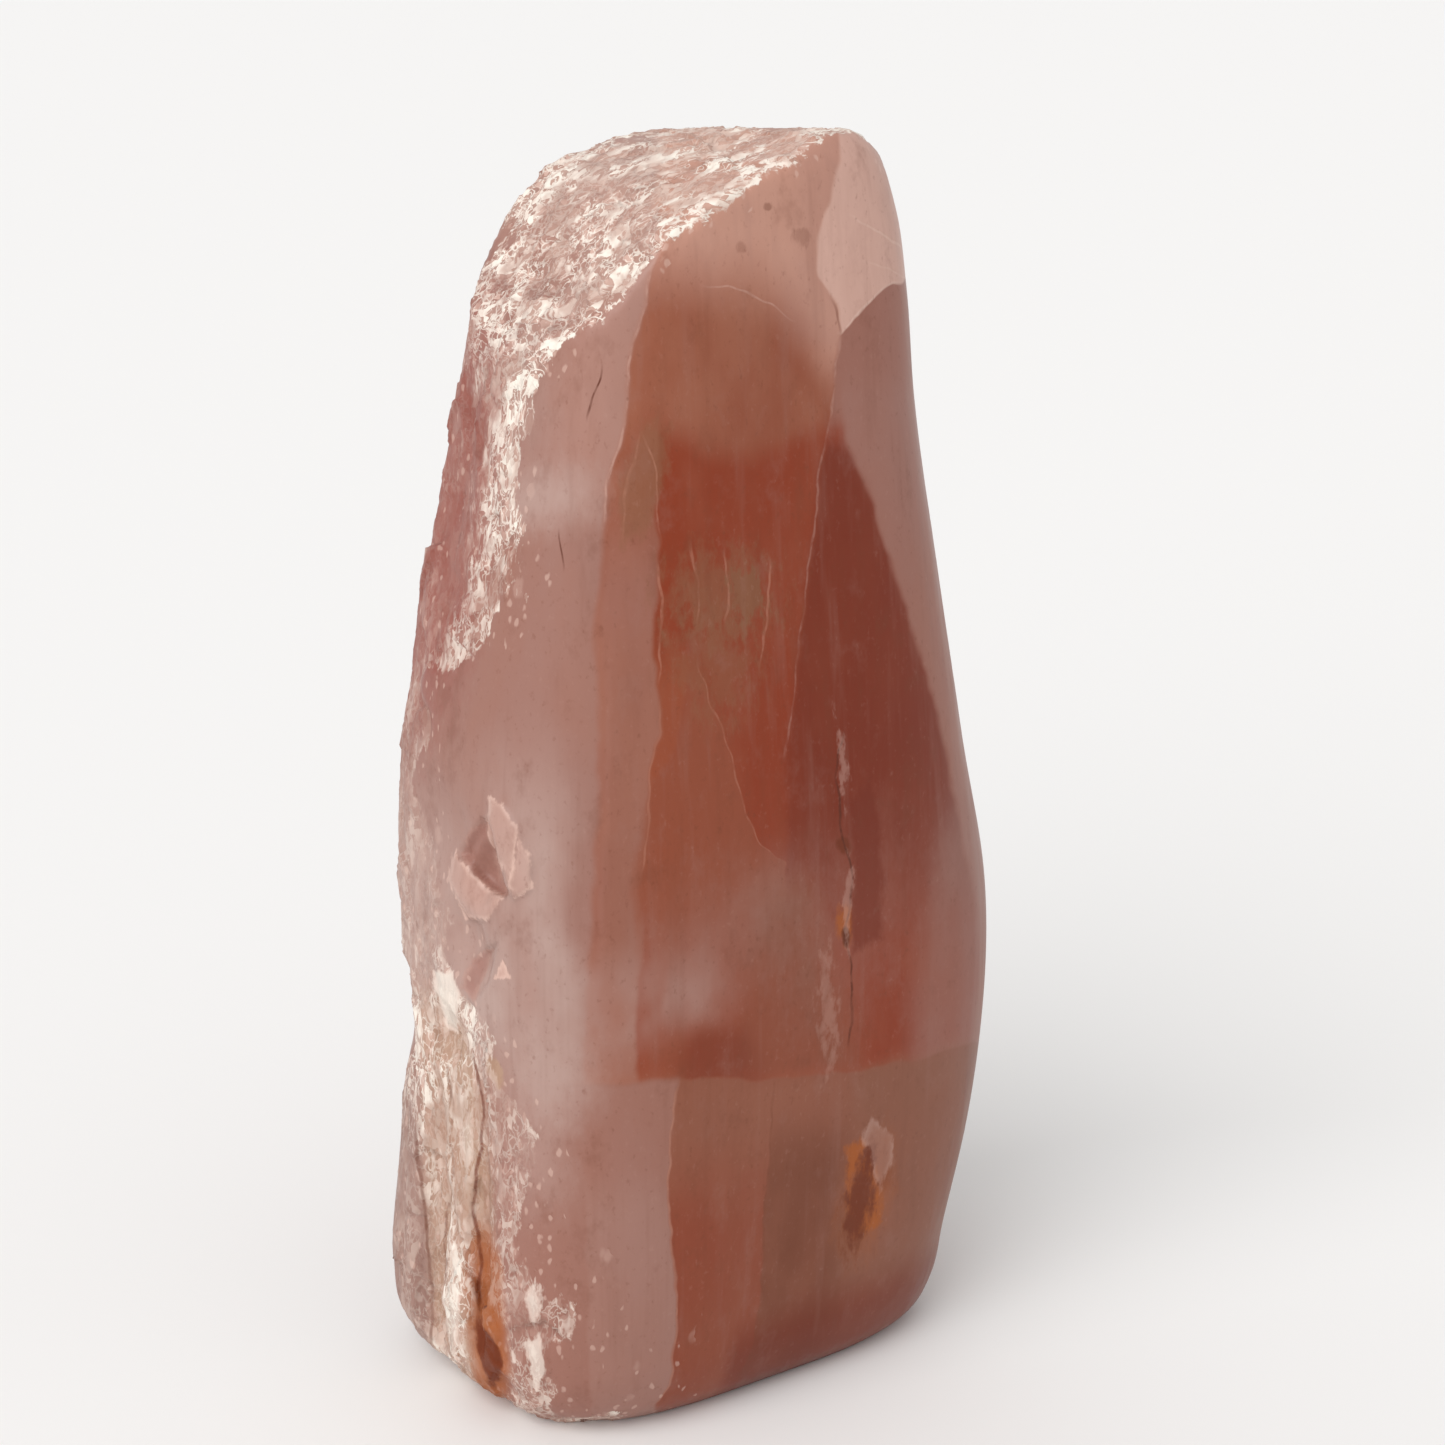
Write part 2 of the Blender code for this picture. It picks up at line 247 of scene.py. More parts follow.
# The marks of the front and left, painted in this order.
FRONT_MARKS = (
    Veil("crown", "blush", 0.95, left_of=(1, LONG_EDGE), cloud=0.15, above=(14, ((-4, 149), (2.5, 148),
        (10.5, 147), (14, 145), (19.5, 138), (30, 135)))),
    Veil("crown band", "grey_rose", 0.25, right_of=(4, ((13, 130), (15, 165))), left_of=(0.6, FACET_EDGE),
        above=(3, ((0, 143), (40, 138)))),
    Veil("upper right", "grey_rose", 0.75, right_of=(0.8, LONG_EDGE), above=(18, 120), below=(0.6,
        NOTCH_EDGE), cloud=0.2),
    # The crown facet is a painted reflection: the petal tint stands in for light from above reflected off
    # the facet.
    Veil("crown facet", "petal", 0.95, right_of=(0.7, FACET_EDGE), above=(0.5, NOTCH_EDGE), cloud=0.12),
    Veil("red heart", "deep_rose", 0.92, right_of=(1, COLUMN_EDGE), left_of=(3, RIGHT_EDGE), above=(5,
        LEVEL), below=(5, ((-10, 128.5), (-1.5, 128), (7.6, 125.5), (19, 130.5), (40, 131))), cloud=0.2),
    Veil("right red", "dark_rose", 0.8, right_of=(1.6, LONG_EDGE), left_of=(1.4, RIGHT_EDGE),
        above=(22, 66), below=(3, 128), cloud=0.15),
    # The right edge is a painted reflection: grey rose stands in for the surroundings reflected in the
    # rounded edge and for the back's edges seen through the stone.
    Veil("right edge", "grey_rose", 0.8, right_of=(1.2, RIGHT_EDGE), above=(8, 62), below=(6, ((0, 134),
        (60, 140))), cloud=0.2),
    Veil("low right edge", "mauve", 0.6, right_of=(7, ((33, 20), (34, 60), (39, 90))), above=(10, 38),
        below=(14, 80), cloud=0.3),
    Veil("left plane", "mauve", 0.9, left_of=(1.4, LEFT_PLANE_EDGE), cloud=0.2),
    Veil("left plane's edge", "petal", 0.25, right_of=(8, ((-22, 45), (-19, 106), (-14, 150))),
        left_of=(0.6, LEFT_PLANE_EDGE), above=(16, 120), cloud=0.3),
    Veil("left mist", "milk", 0.72, left_of=(7, ((-13, 40), (-16, 92))), above=(12, 44), below=(26, 80),
        cloud=0.45, drift=True),
    # The two wisps are partly milky cloud in the stone and partly painted reflection of the light on the
    # polish.
    Patch("wisp", "milk", 0.6, (-20, 119.5), (8, 3.6), 6, 0.5, 0.9),
    Patch("upper wisp", "milk", 0.25, (-22, 131), (4.5, 9), -12, 0.6, 0.9),
    Veil("grey column", "grey_rose", 0.6, right_of=(3, LEFT_PLANE_EDGE), left_of=(1, COLUMN_EDGE),
        above=(6, LEVEL), below=(16, ((-60, 117), (60, 112))), cloud=0.25),
    Veil("column shade", "low_rose", 0.45, right_of=(1, ((-12, 45), (-9, 110))), left_of=(5, ((-7, 45),
        (-4.6, 110))), above=(10, 56), below=(14, 100), cloud=0.5),
    Veil("orange strip", "ember", 0.55, right_of=(0.8, COLUMN_EDGE), left_of=(0.8, STRIP_EDGE),
        above=(3, 81), below=(9, ((-60, 99), (60, 97))), cloud=0.3),
    Veil("heart plane", "plum", 0.75, right_of=(1.5, ((-6, 50), *STRIP_EDGE)), left_of=(0.5, HEART_EDGE),
        above=(24, 60), below=(6, 97), cloud=0.15),
    Veil("heart step", "deep_rose", 0.5, right_of=(0.6, ((9.3, 71), (8.6, 99))), left_of=(6, ((16, 70),
        (14, 99))), above=(12, 76), below=(4, ((-60, 101), (60, 99)))),
    Veil("low heart", "plum", 0.6, right_of=(4, ((-6, 40), (-5, 75))), left_of=(5, ((26, 40), (16, 75))),
        above=(4, LEVEL), below=(8, ((-60, 66), (60, 72))), cloud=0.4),
    Veil("low haze", "milk", 0.45, right_of=(7, ((-34, 30), (-28, 60))), left_of=(20, ((0, 30),
        (14, 75))), above=(9, ((-40, 39), (-21, 42), (-2, 47.5), (8, 54), (19, 66))), below=(13,
        ((-40, 54), (-21, 53), (-2, 57), (8, 65), (19, 76))), cloud=0.8, drift=True),
    Veil("smoke", "smoke", 0.7, right_of=(8, ((6, 40), (9, 75))), left_of=(8, ((21, 40), (20, 75))),
        above=(2, LEVEL), below=(10, 66), cloud=0.6, drift=True),
    Patch("haze over the heart", "mauve", 0.25, (6, 62), (11, 7), 32, 0.7, 1),
    Patch("haze by the crack", "mauve", 0.25, (24, 62), (7, 12), -20, 0.8, 1),
    Veil("shade over the level", "dark_rose", 0.5, right_of=(3, ((-2, 40), (2, 52))), cloud=0.3,
        left_of=(5, ((12, 40), (7, 52))), above=(0.8, LEVEL), below=(6, 48)),
    Veil("below the level", "low_rose", 0.85, below=(0.7, LEVEL), right_of=(6, ((-24, 0), (-20, 41))),
        cloud=0.2),
    Veil("lilac foot", "lilac", 0.85, right_of=(3, ((-30, -12), (-26, 45))), left_of=(0.7, FOOT_EDGE),
        below=(1.5, LEVEL), cloud=0.2),
    Veil("lilac step", "milk", 0.12, right_of=(0.8, ((-13.5, -12), (-14.5, 45))), left_of=(0.8,
        FOOT_EDGE), below=(9, 26)),
    Veil("red foot", "deep_rose", 0.6, right_of=(0.7, FOOT_EDGE), left_of=(0.7, SECOND_FOOT_EDGE),
        below=(16, 27), cloud=0.3),
    Veil("middle foot", "umber", 0.7, right_of=(0.7, SECOND_FOOT_EDGE), left_of=(6, ((22, 0), (24, 40))),
        below=(12, 32), cloud=0.4),
    Veil("right foot", "clay", 0.4, right_of=(5, ((20, -5), (24, 40))), below=(3, LEVEL), cloud=0.3,
        above=(8, ((-60, 2), (60, 10)))),
    Veil("foot edge", "dark_rose", 0.7, right_of=(3, ((4, -10), (7, 5))), below=(8, ((0, -1), (10, 4),
        (20, 7), (33, 10), (60, 21)))),
    Patch("haze on the level", "milk", 0.6, (-18.5, 42.5), (5.5, 6), 0, 0.4, 0.9),
    Patch("haze under the level", "milk", 0.35, (-20, 32), (4, 8), 0, 0.6, 0.9),
    # The hollow's deep pink is partly the clear broken surface and partly painted shade in the recess.
    Patch("hollow", "hollow", 0.9, (-34, 120), (9, 30), -8, 0.3, 0.4),
    Patch("far lobe", "lobe", 0.9, (-41, 17), (6, 24), 0, 0.2, 0.3),
    Veil("beige flank", "sand", 0.75, left_of=(3, ((-27, -10), (-27, 20), (-29, 40), (-32, 54))),
        cloud=0.3, right_of=(2, ((-37, -10), (-38, 54))), below=(8, 52)),
    Veil("orange valley", "amber", 0.85, left_of=(1.6, ((-26, -10), (-26, 12), (-28, 26))), cloud=0.3,
        right_of=(2, ((-31, -10), (-31.5, 26))), below=(10, 19)),
    Patch("upper moss", "moss", 0.55, (-5.5, 121.5), (2.6, 7.5), -14, 0.7),
    Patch("moss", "moss", 0.5, (4.5, 107.5), (7, 5.5), 0, 1.4, 0.5),
    Patch("moss core", "olive", 0.4, (8, 107.5), (2.6, 3), 0, 1.8),
    Patch("moss tail", "moss", 0.4, (4, 99), (5, 7), 10, 1.6, 0.6),
    Patch("iron dot", "iron", 0.9, (22, 73.6), (0.9, 1.3), 0, 0.8),
    Patch("iron spot", "amber", 0.8, (22.4, 62.5), (1.2, 2.8), 0, 0.8),
    Patch("rust spot", "rust", 0.8, (22.4, 60.5), (0.6, 1.2), 0, 0.6),
    Patch("stain's glow", "amber", 0.55, (26.4, 22), (3, 7.5), -12, 0.6, 0.7),
    Shard("iron stain", "amber", 0.95, ((22.7, 29.5), (24.6, 30.8), (26.3, 28), (28.1, 22.8), (28.5, 18),
        (24.3, 15.8)), 1.2, 0, 0, 1.6),
    Patch("heart of the stain", "iron", 0.95, (25.2, 22), (1.8, 6.8), -8, 1.2, 0.5),
    Patch("stain's shade", "iron", 0.35, (28, 26.5), (1.8, 3.4), 0, 0.8, 0.7),
    Shard("chip by the stain", "petal", 0.2, ((25.1, 30.9), (26.7, 33.6), (30, 31.2), (30, 27),
        (28.1, 22.8)), 0.7, 0.2),
    Shard("red plane by the crack", "dark_rose", 0.7, ((22.9, 80), (25.6, 83), (27.4, 76), (27.8, 60),
        (23.4, 58)), 1.6),
    Shard("red scar", "deep_rose", 0.28, ((-31, 72.5), (-27.8, 77.3), (-26.4, 76.4), (-24.6, 67),
        (-25.4, 66.8), (-28.7, 69.7)), 0.6, 0.3, -1),
    Shard("raised flake", "petal", 0.35, ((-26.8, 76.6), (-26.2, 80), (-24.6, 79.3), (-22.6, 76),
        (-24.4, 68.6)), 0.5, 0.85, 0.6),
    Shard("raised flake's foot", "petal", 0.3, ((-24.4, 68.6), (-22.6, 76), (-20.9, 72), (-21.1, 67.9),
        (-23.6, 66.5)), 0.5, 0.85, 0.6),
    Shard("pink flake", "petal", 0.4, ((-31.8, 72.8), (-30.6, 71.7), (-25.3, 66.5), (-27, 63.7),
        (-30.1, 63.4), (-32.8, 68.9)), 0.5, 0.85, 0.5),
    Shard("low scar", "deep_rose", 0.3, ((-29.7, 57.9), (-26.4, 60.2), (-27.9, 54.6), (-29.5, 52.4),
        (-30.9, 54.4)), 0.6, 0.3, -0.7),
    Shard("small chip", "petal", 0.7, ((-25.9, 55.9), (-25.2, 58), (-24.2, 56.2)), 0.4, 0.8),
    Patch("yellow spot", "sand", 0.7, (-26, 42), (1.2, 2), 20, 0.7),
    Patch("crown speck", "umber", 0.45, (10.8, 157.3), (0.6, 0.5), 0, 0.8),
    Patch("second crown speck", "umber", 0.3, (15.2, 154), (1, 1.2), 0, 1.4),
    Patch("third crown speck", "umber", 0.3, (7.4, 151.8), (0.7, 0.9), 0, 1.2),
    Thread("left plane line", "petal", 0.4, 0.28, LEFT_PLANE_EDGE[5:], 0.8),
    Thread("long line", "petal", 0.22, 0.25, LONG_EDGE, 0.8),
    Thread("notch", "pale", 0.7, 0.32, ((20.9, 142.2), (24, 146.2), (29.5, 151)), 0.3, True),
    Thread("notch shade", "umber", 0.5, 0.3, ((20.9, 142.2), (19.6, 147)), 0.2),
    Thread("crown line", "petal", 0.35, 0.22, ((2.5, 147.5), (10.5, 145.5), (14, 143.5)), 0.5, True),
    Thread("strip line", "peach", 0.25, 0.2, ((-5.9, 70), (-5.2, 79), (-4.4, 85.5), (-3.6, 93.5)), 0.5),
    Thread("moss rim", "peach", 0.3, 0.22, ((-8, 114), (-7.6, 121), (-5.8, 128)), 0.7),
    Thread("moss rim's right", "peach", 0.35, 0.22, ((-3.2, 114), (-3.6, 121), (-5.8, 128)), 0.7),
    Thread("moss line", "peach", 0.4, 0.22, ((10, 98), (10.6, 106), (11.3, 112.5)), 0.7),
    Thread("second moss line", "peach", 0.35, 0.25, ((1.2, 103), (1.4, 108), (0.6, 114)), 0.8),
    Thread("third moss line", "peach", 0.35, 0.25, ((5.2, 104), (5.8, 109), (5.4, 113.5)), 0.8),
    Thread("fourth moss line", "peach", 0.4, 0.25, ((-3.4, 96), (-3.2, 104), (-3.6, 112)), 0.7),
    Thread("crack", "rust", 0.85, 0.26, CRACK, 0.55),
    Patch("crack's flakes", "petal", 0.3, (21.4, 85), (0.6, 4.5), 6, 2.4, 0.5),
    Patch("crack's lower flakes", "petal", 0.25, (22.6, 66), (0.5, 5), 0, 2.4, 0.5),
    Patch("crack's foot", "petal", 0.2, (20, 50), (1.2, 6), 4, 2.4, 0.6),
    Thread("heart line", "peach", 0.25, 0.22, HEART_EDGE, 0.7),
    Thread("foot line", "peach", 0.35, 0.22, FOOT_EDGE, 0.5),
    Thread("second foot line", "umber", 0.3, 0.28, SECOND_FOOT_EDGE, 0.5),
    Thread("hairline", "rust", 0.9, 0.26, ((-13, 130), (-11.6, 134), (-11, 136.5)), 0.4),
    Thread("second hairline", "rust", 0.8, 0.22, ((-16.2, 111), (-16.8, 115.5)), 0.3),
    Thread("crown facet line", "pale", 0.5, 0.26, ((22, 158), (26.1, 156.7), (31, 154.5)), 0.3, True),
    Thread("second crown facet line", "pale", 0.3, 0.22, ((24, 152.5), (28, 152), (31, 150.6)), 0.5,
        True),
)
# The marks of the broken side, painted over its flakes.
BREAK_MARKS = (
    Veil("orange in the valley", "amber", 0.6, left_of=(1.4, ((-25, -10), (-25.4, 12), (-27, 24))),
        cloud=0.3, right_of=(1, -30), below=(7, 18)),
    Patch("brown slot", "iron", 0.95, (-28.3, 0.4), (1.7, 5), 12, 0.4, 0.15),
    Thread("valley crack", "iron", 0.75, 0.45, ((-29.6, 4), (-29.2, 14.7), (-29.7, 25.2), (-28.6, 31),
        (-29.6, 45)), 0.55),
    Thread("lobe crack", "umber", 0.6, 0.4, ((-37.4, -5), (-37.8, 20), (-39, 32)), 0.45),
    Thread("flank crack", "umber", 0.5, 0.35, ((-33.6, 2), (-34.4, 18), (-33, 30), (-34.6, 46)), 0.8),
    Shard("white chip", "snow_and_glint", 0.7, ((-34.9, 55.9), (-31.9, 56.4), (-31.3, 52.9), (-32.5, 47.5),
        (-34, 48.1), (-35, 52.5)), 0.5, 0.5, 0.4),
    Shard("flank chip", "snow_and_glint", 0.4, ((-35.5, 8), (-33.4, 12), (-32.4, 6), (-33.8, -2)), 0.5, 0.4, 0.3),
    Shard("upper flank chip", "snow_and_glint", 0.25, ((-31.8, 34), (-30.4, 37), (-29.8, 31), (-31, 26)), 0.5, 0.4,
        0.3),
    Shard("foot chip", "snow_and_glint", 0.5, ((-22.6, 3), (-20.4, 4), (-19.6, -1), (-21.4, -4)), 0.5, 0.4, 0.3),
    Shard("second foot chip", "snow_and_glint", 0.45, ((-22, 10), (-20.8, 13), (-19.9, 9), (-20.8, 6)), 0.5, 0.4,
        0.3),
)
# Where the broken side is smooth, with few flakes on it.
SMOOTH_PLACES = (
    Patch("hollow", "", 1, (-35, 120), (9, 27), -8, 0.4, 0.35),
    Patch("bulge", "", 0.85, (-36, 78), (10, 24), 0, 0.5, 0.4),
    Patch("far lobe", "", 0.9, (-41.5, 16), (5, 24), 0, 0.4, 0.4),
    Patch("valley", "", 0.75, (-28.5, 16), (3.4, 27), 6, 0.5, 0.5),
    Patch("slot", "", 1, (-28.3, 1), (3.6, 9), 0, 0.3, 0.2),
    Patch("second strip", "", 0.75, (-22, 18), (6, 34), 4, 0.5, 0.5),
    Patch("flank", "", 0.55, (-32, 31), (3.5, 13), 0, 0.7, 0.5),
    Patch("ridge's foot", "", 0.5, (-28.5, 104), (5, 12), -10, 0.7, 0.6),
)
# The marks of the back and the right side, on places measured along X and up.
BACK_MARKS = (
    Veil("back crown", "blush", 0.7, above=(10, ((-60, 148), (0, 140), (60, 152))), cloud=0.3,
        drift=True),
    Veil("back milk", "mauve", 0.8, right_of=(6, ((6, 0), (12, 80), (4, 180))), cloud=0.4, drift=True),
    Veil("back red", "deep_rose", 0.7, right_of=(5, ((-26, 20), (-18, 110))), left_of=(2, ((2, 20),
        (-6, 110))), above=(12, ((-60, 20), (60, 34))), below=(14, ((-60, 110), (60, 96))), cloud=0.3),
    Veil("back wisp", "milk", 0.45, above=(14, ((-60, 60), (0, 68), (60, 96))), cloud=0.8, drift=True,
        below=(14, ((-60, 78), (0, 88), (60, 106)))),
    Veil("back foot", "low_rose", 0.6, below=(8, ((-60, 34), (60, 24))), cloud=0.3),
    Patch("back stain", "iron", 0.7, (18, 46), (2, 7), -12, 0.9, 0.5),
    Thread("back edge", "peach", 0.3, 0.3, ((2, 20), (-2, 66), (-6, 110)), 0.8),
    Thread("back hairline", "dark_rose", 0.5, 0.28, ((20, 60), (17, 88), (21, 120), (18, 146)), 0.7),
    Thread("back level", "peach", 0.25, 0.3, ((-44, 57), (-10, 55), (24, 60), (44, 58)), 0.8, True),
)


def tone(red, green, blue):
    """A swatch's tint, each part from 0 to 255, as light."""
    swatch = np.array((red, green, blue)) / 255
    return tuple(np.where(swatch <= 0.04045, swatch / 12.92, ((swatch + 0.055) / 1.055) ** 2.4))


def colour(name, description, value):
    """A tint that can be changed in the panel."""
    return FloatVectorProperty(
        name=name, description=description, default=value, size=3, min=0, max=1, subtype="COLOR"
    )


def length(name, description, value_mm):
    """A length that can be changed in the panel."""
    return FloatProperty(
        name=name, description=description, default=value_mm * MM, unit="LENGTH", precision=5
    )


class RoseQuartzShape(bpy.types.PropertyGroup):
    """How finely the stone's surface is built."""

    voxel: length("Face size", "Size of a face on the polished surface", FACE_MM)
    wave: length("Polish waves", "Depth of the long waves in the polish", WAVE_MM)
    roughening: FloatProperty(
        name="Roughening", description="How far the chips stand out, against the measured depth",
        default=1, min=0, max=2, subtype="FACTOR",
    )
    smoothing: IntProperty(
        name="Smoothing", description="Passes that even out the surface before it is chipped",
        default=EVENING_PASSES, min=0, max=20,
    )


class RoseQuartzColours(bpy.types.PropertyGroup):
    """The tints in the stone."""

    rose: colour("Rose", "The stone itself", tone(148, 87, 64))
    blush: colour("Blush", "The clearer crown", tone(192, 144, 126))
    # Petal also paints the reflection of light from above on the crown facet.
    petal: colour("Petal", "Clear planes and flakes near the surface", tone(202, 162, 148))
    deep_rose: colour("Deep rose", "The red heart", tone(131, 45, 8))
    dark_rose: colour("Dark rose", "The darkest inner planes", tone(108, 31, 0))
    umber: colour("Umber", "Cracks and the darkest foot", tone(104, 50, 24))
    plum: colour("Plum", "The duller planes of the heart", tone(138, 72, 48))
    # Grey rose also paints the reflection along the rounded right edge.
    grey_rose: colour("Grey rose", "The clouded edges", tone(150, 104, 92))
    mauve: colour("Mauve", "The milky left side", tone(150, 110, 99))
    milk: colour("Milk", "The densest clouds", tone(180, 154, 145))
    lilac: colour("Lilac", "The clouded foot", tone(151, 107, 95))
    low_rose: colour("Low rose", "The stone under the level crack", tone(134, 80, 60))
    smoke: colour("Smoke", "The grey haze in the heart", tone(124, 74, 54))
    ember: colour("Ember", "The orange strips", tone(148, 78, 48))
    peach: colour("Peach", "Lit edges of inner planes", tone(186, 130, 108))
    pale: colour("Pale", "The brightest hairlines", tone(212, 178, 164))
    moss: colour("Moss", "The green-brown inclusions", tone(132, 86, 60))
    olive: colour("Olive", "The densest inclusions", tone(122, 86, 58))
    sand: colour("Sand", "Beige flakes on the broken flank", tone(174, 140, 114))
    clay: colour("Clay", "The brown haze at the right of the foot", tone(124, 80, 60))
    # The hollow's tint is partly the clear pink of its surface and partly painted shade in the recess.
    hollow: colour("Hollow", "The clear pink of the hollow at the left", tone(142, 80, 70))
    lobe: colour("Lobe", "The dull foot of the far left", tone(146, 114, 104))
    amber: colour("Amber", "The orange stains", tone(156, 80, 24))
    iron: colour("Iron", "The rusty stains", tone(104, 38, 0))
    rust: colour("Rust", "The heart of a stain", tone(84, 28, 0))
    frost: colour("Frost", "The broken surface", tone(198, 166, 152))
    # Snow is the white of chips and flakes, and on the broken surface also the painted glints.
    snow_and_glint: colour("Snow", "Flakes on the broken surface", tone(238, 228, 216))


class RoseQuartzStage(bpy.types.PropertyGroup):
    """The studio round the stone."""

    floor: colour("Floor", "The pale floor", (0.86, 0.85, 0.84))
    sky: FloatProperty(name="Sky", description="Strength of the even light all round", default=0.7, min=0)
    key: FloatProperty(name="Key", description="Strength of the upper left light", default=1.9, min=0)


class RoseQuartzSettings(bpy.types.PropertyGroup):
    """Everything about the stone and its studio that can be changed."""

    shape: PointerProperty(type=RoseQuartzShape)
    colours: PointerProperty(type=RoseQuartzColours)
    stage: PointerProperty(type=RoseQuartzStage)


def smooth_through(stations, at):
    """A curve through the stations, with each slope taken from its neighbours."""
    stations = np.array(stations, float)
    places, values = stations[:, 0], stations[:, 1]
    slopes = np.gradient(values, places)
    index = np.clip(np.searchsorted(places, at) - 1, 0, len(places) - 2)
    span = places[index + 1] - places[index]
    t = np.clip((at - places[index]) / span, 0, 1)
    t2, t3 = t * t, t * t * t
    return (
        (2 * t3 - 3 * t2 + 1) * values[index]
        + (t3 - 2 * t2 + t) * span * slopes[index]
        + (3 * t2 - 2 * t3) * values[index + 1]
        + (t3 - t2) * span * slopes[index + 1]
    )


def ease(value):
    """0 below 0, 1 above 1, and a smooth rise between."""
    value = np.clip(value, 0, 1)
    return value * value * (3 - 2 * value)


def top_break(x, y):
    """Height of the broken top above a place, in millimetres."""
    stations = np.array(TOP_BREAK_MM, float)
    front, back = (smooth_through(stations[:, [0, k]], x) for k in (1, 2))
    return front + (back - front) * (y - TOP_FRONT_Y_MM) / (TOP_BACK_Y_MM - TOP_FRONT_Y_MM)


def polished_form():
    """Rings of points up the stone, in millimetres: an array of ring, point, XYZ."""
    sections = np.array(SECTIONS_MM, float)
    height = np.linspace(0, sections[-1, 0], RINGS)
    left, right, front, back = (smooth_through(sections[:, [0, k]], height) for k in range(1, 5))
    turn = np.linspace(0, 2 * np.pi, RING_POINTS, endpoint=False)
    across, along = np.cos(turn), np.sin(turn)
    power = np.where(
        along >= 0,
        np.where(across >= 0, CORNER_POWER["back_right"], CORNER_POWER["back_left"]),
        np.where(across >= 0, CORNER_POWER["front_right"], CORNER_POWER["front_left"]),
    )
    square_x = np.sign(across) * np.abs(across) ** (2 / power)
    square_y = np.sign(along) * np.abs(along) ** (2 / power)
    x = ((left + right) / 2)[:, None] + ((right - left) / 2)[:, None] * square_x
    y = ((front + back) / 2)[:, None] + ((back - front) / 2)[:, None] * square_y
    z = np.repeat(height[:, None], RING_POINTS, axis=1)
    inward = np.linspace(1, 0, TOP_RINGS, endpoint=False)[1:, None]
    middle_x, middle_y = x[-1].mean(), y[-1].mean()
    x = np.concatenate([x, middle_x + inward * (x[-1] - middle_x)])
    y = np.concatenate([y, middle_y + inward * (y[-1] - middle_y)])
    z = np.concatenate([z, np.repeat(z[-1:], len(inward), axis=0)])
    return np.stack([x, y, np.minimum(z, top_break(x, y))], axis=-1)


def mesh_from(shape, name):
    """The shape as a mesh."""
    mesh = bpy.data.meshes.new(name)
    shape.to_mesh(mesh)
    shape.free()
    return mesh


def put_in_scene(name, data):
    """A new object in the scene."""
    thing = bpy.data.objects.new(name, data)
    bpy.context.scene.collection.objects.link(thing)
    return thing


def loft(rings):
    """A closed mesh through rings of points, with a fan over each end."""
    shape = bmesh.new()
    made = [[shape.verts.new(point * MM) for point in ring] for ring in rings]
    count = len(made[0])
    for low, high in zip(made, made[1:]):
        for k in range(count):
            after = (k + 1) % count
            shape.faces.new((low[k], low[after], high[after], high[k]))
    for ring, facing in ((made[0], -1), (made[-1], 1)):
        middle = sum((vert.co for vert in ring), start=ring[0].co * 0) / count
        tip = shape.verts.new(middle)
        for k in range(count):
            corners = (ring[k], ring[(k + 1) % count], tip)
            shape.faces.new(corners if facing > 0 else corners[::-1])
    return mesh_from(shape, PIECE)


def egg(name, middle, half_sizes, turn):
    """A cutter the shape of an egg."""
    shape = bmesh.new()
    bmesh.ops.create_uvsphere(shape, u_segments=BREAK_SEGMENTS, v_segments=BREAK_SEGMENTS // 2, radius=1)
    bmesh.ops.scale(shape, vec=Vector(half_sizes) * MM, verts=shape.verts)
    cutter = put_in_scene(name, mesh_from(shape, name))
    cutter.location = Vector(middle) * MM
    cutter.rotation_euler = Euler([np.radians(angle) for angle in turn])
    return cutter


def break_away(stone, settings):
    """Cuts each broken piece from the stone, and evens out its faces."""
    cutters = [egg(name, *sizes) for name, sizes in BREAKS_MM.items()]
    for cutter in cutters:
        cut = stone.modifiers.new(cutter.name, "BOOLEAN")
        cut.operation = "DIFFERENCE"
        cut.solver = "EXACT"
        cut.object = cutter
    even = stone.modifiers.new("even faces", "REMESH")
    even.mode = "VOXEL"
    even.voxel_size = settings.voxel
    polish = stone.modifiers.new("polish", "SMOOTH")
    polish.factor = 0.5
    polish.iterations = settings.smoothing
    bpy.context.view_layer.update()
    finished = stone.evaluated_get(bpy.context.evaluated_depsgraph_get())
    mesh = bpy.data.meshes.new_from_object(finished)
    stone.modifiers.clear()
    stone.data = mesh
    for cutter in cutters:
        bpy.data.objects.remove(cutter, do_unlink=True)


def brokenness(points):
    """How broken the surface is at each point: 0 where it is polished, 1 where it is fully broken."""
    x, y, z = points.T
    wander = np.array([noise.noise(Vector(point) / WANDER_LENGTH_MM) for point in points])
    line = smooth_through(BROKEN_LINE_MM, z)
    behind_line = ease((y - line + WANDER_MM * wander) / EDGE_BLEND_MM)
    before_back = ease((BROKEN_BACK_Y_MM - y + WANDER_MM * wander) / EDGE_BLEND_MM)
    left_side = behind_line * before_back * ease((BROKEN_RIGHT_X_MM - x) / EDGE_BLEND_MM)
    top = ease((z - top_break(x, y) + TOP_BLEND_MM + TOP_WANDER_MM * wander) / TOP_BLEND_MM)
    return np.maximum(left_side, top)


def facet(point, size):
    """Height of the tilted facet that a point lies on, from -1 to 1, where the facets are of this size."""
    place = Vector((point.x, point.y, point.z / FACET_LENGTH)) / size
    _, middles = noise.voronoi(place)
    tilt = noise.cell_vector(middles[0]) - noise.cell_vector(middles[0] + CELL_STEP)
    return (place - middles[0]).dot(tilt)


def read_points(mesh, what="co"):
    """The mesh's points, or its normals, as an array."""
    flat = np.empty(len(mesh.vertices) * 3, np.float32)
    mesh.vertices.foreach_get(what, flat)
    return flat.reshape(-1, 3).astype(float)


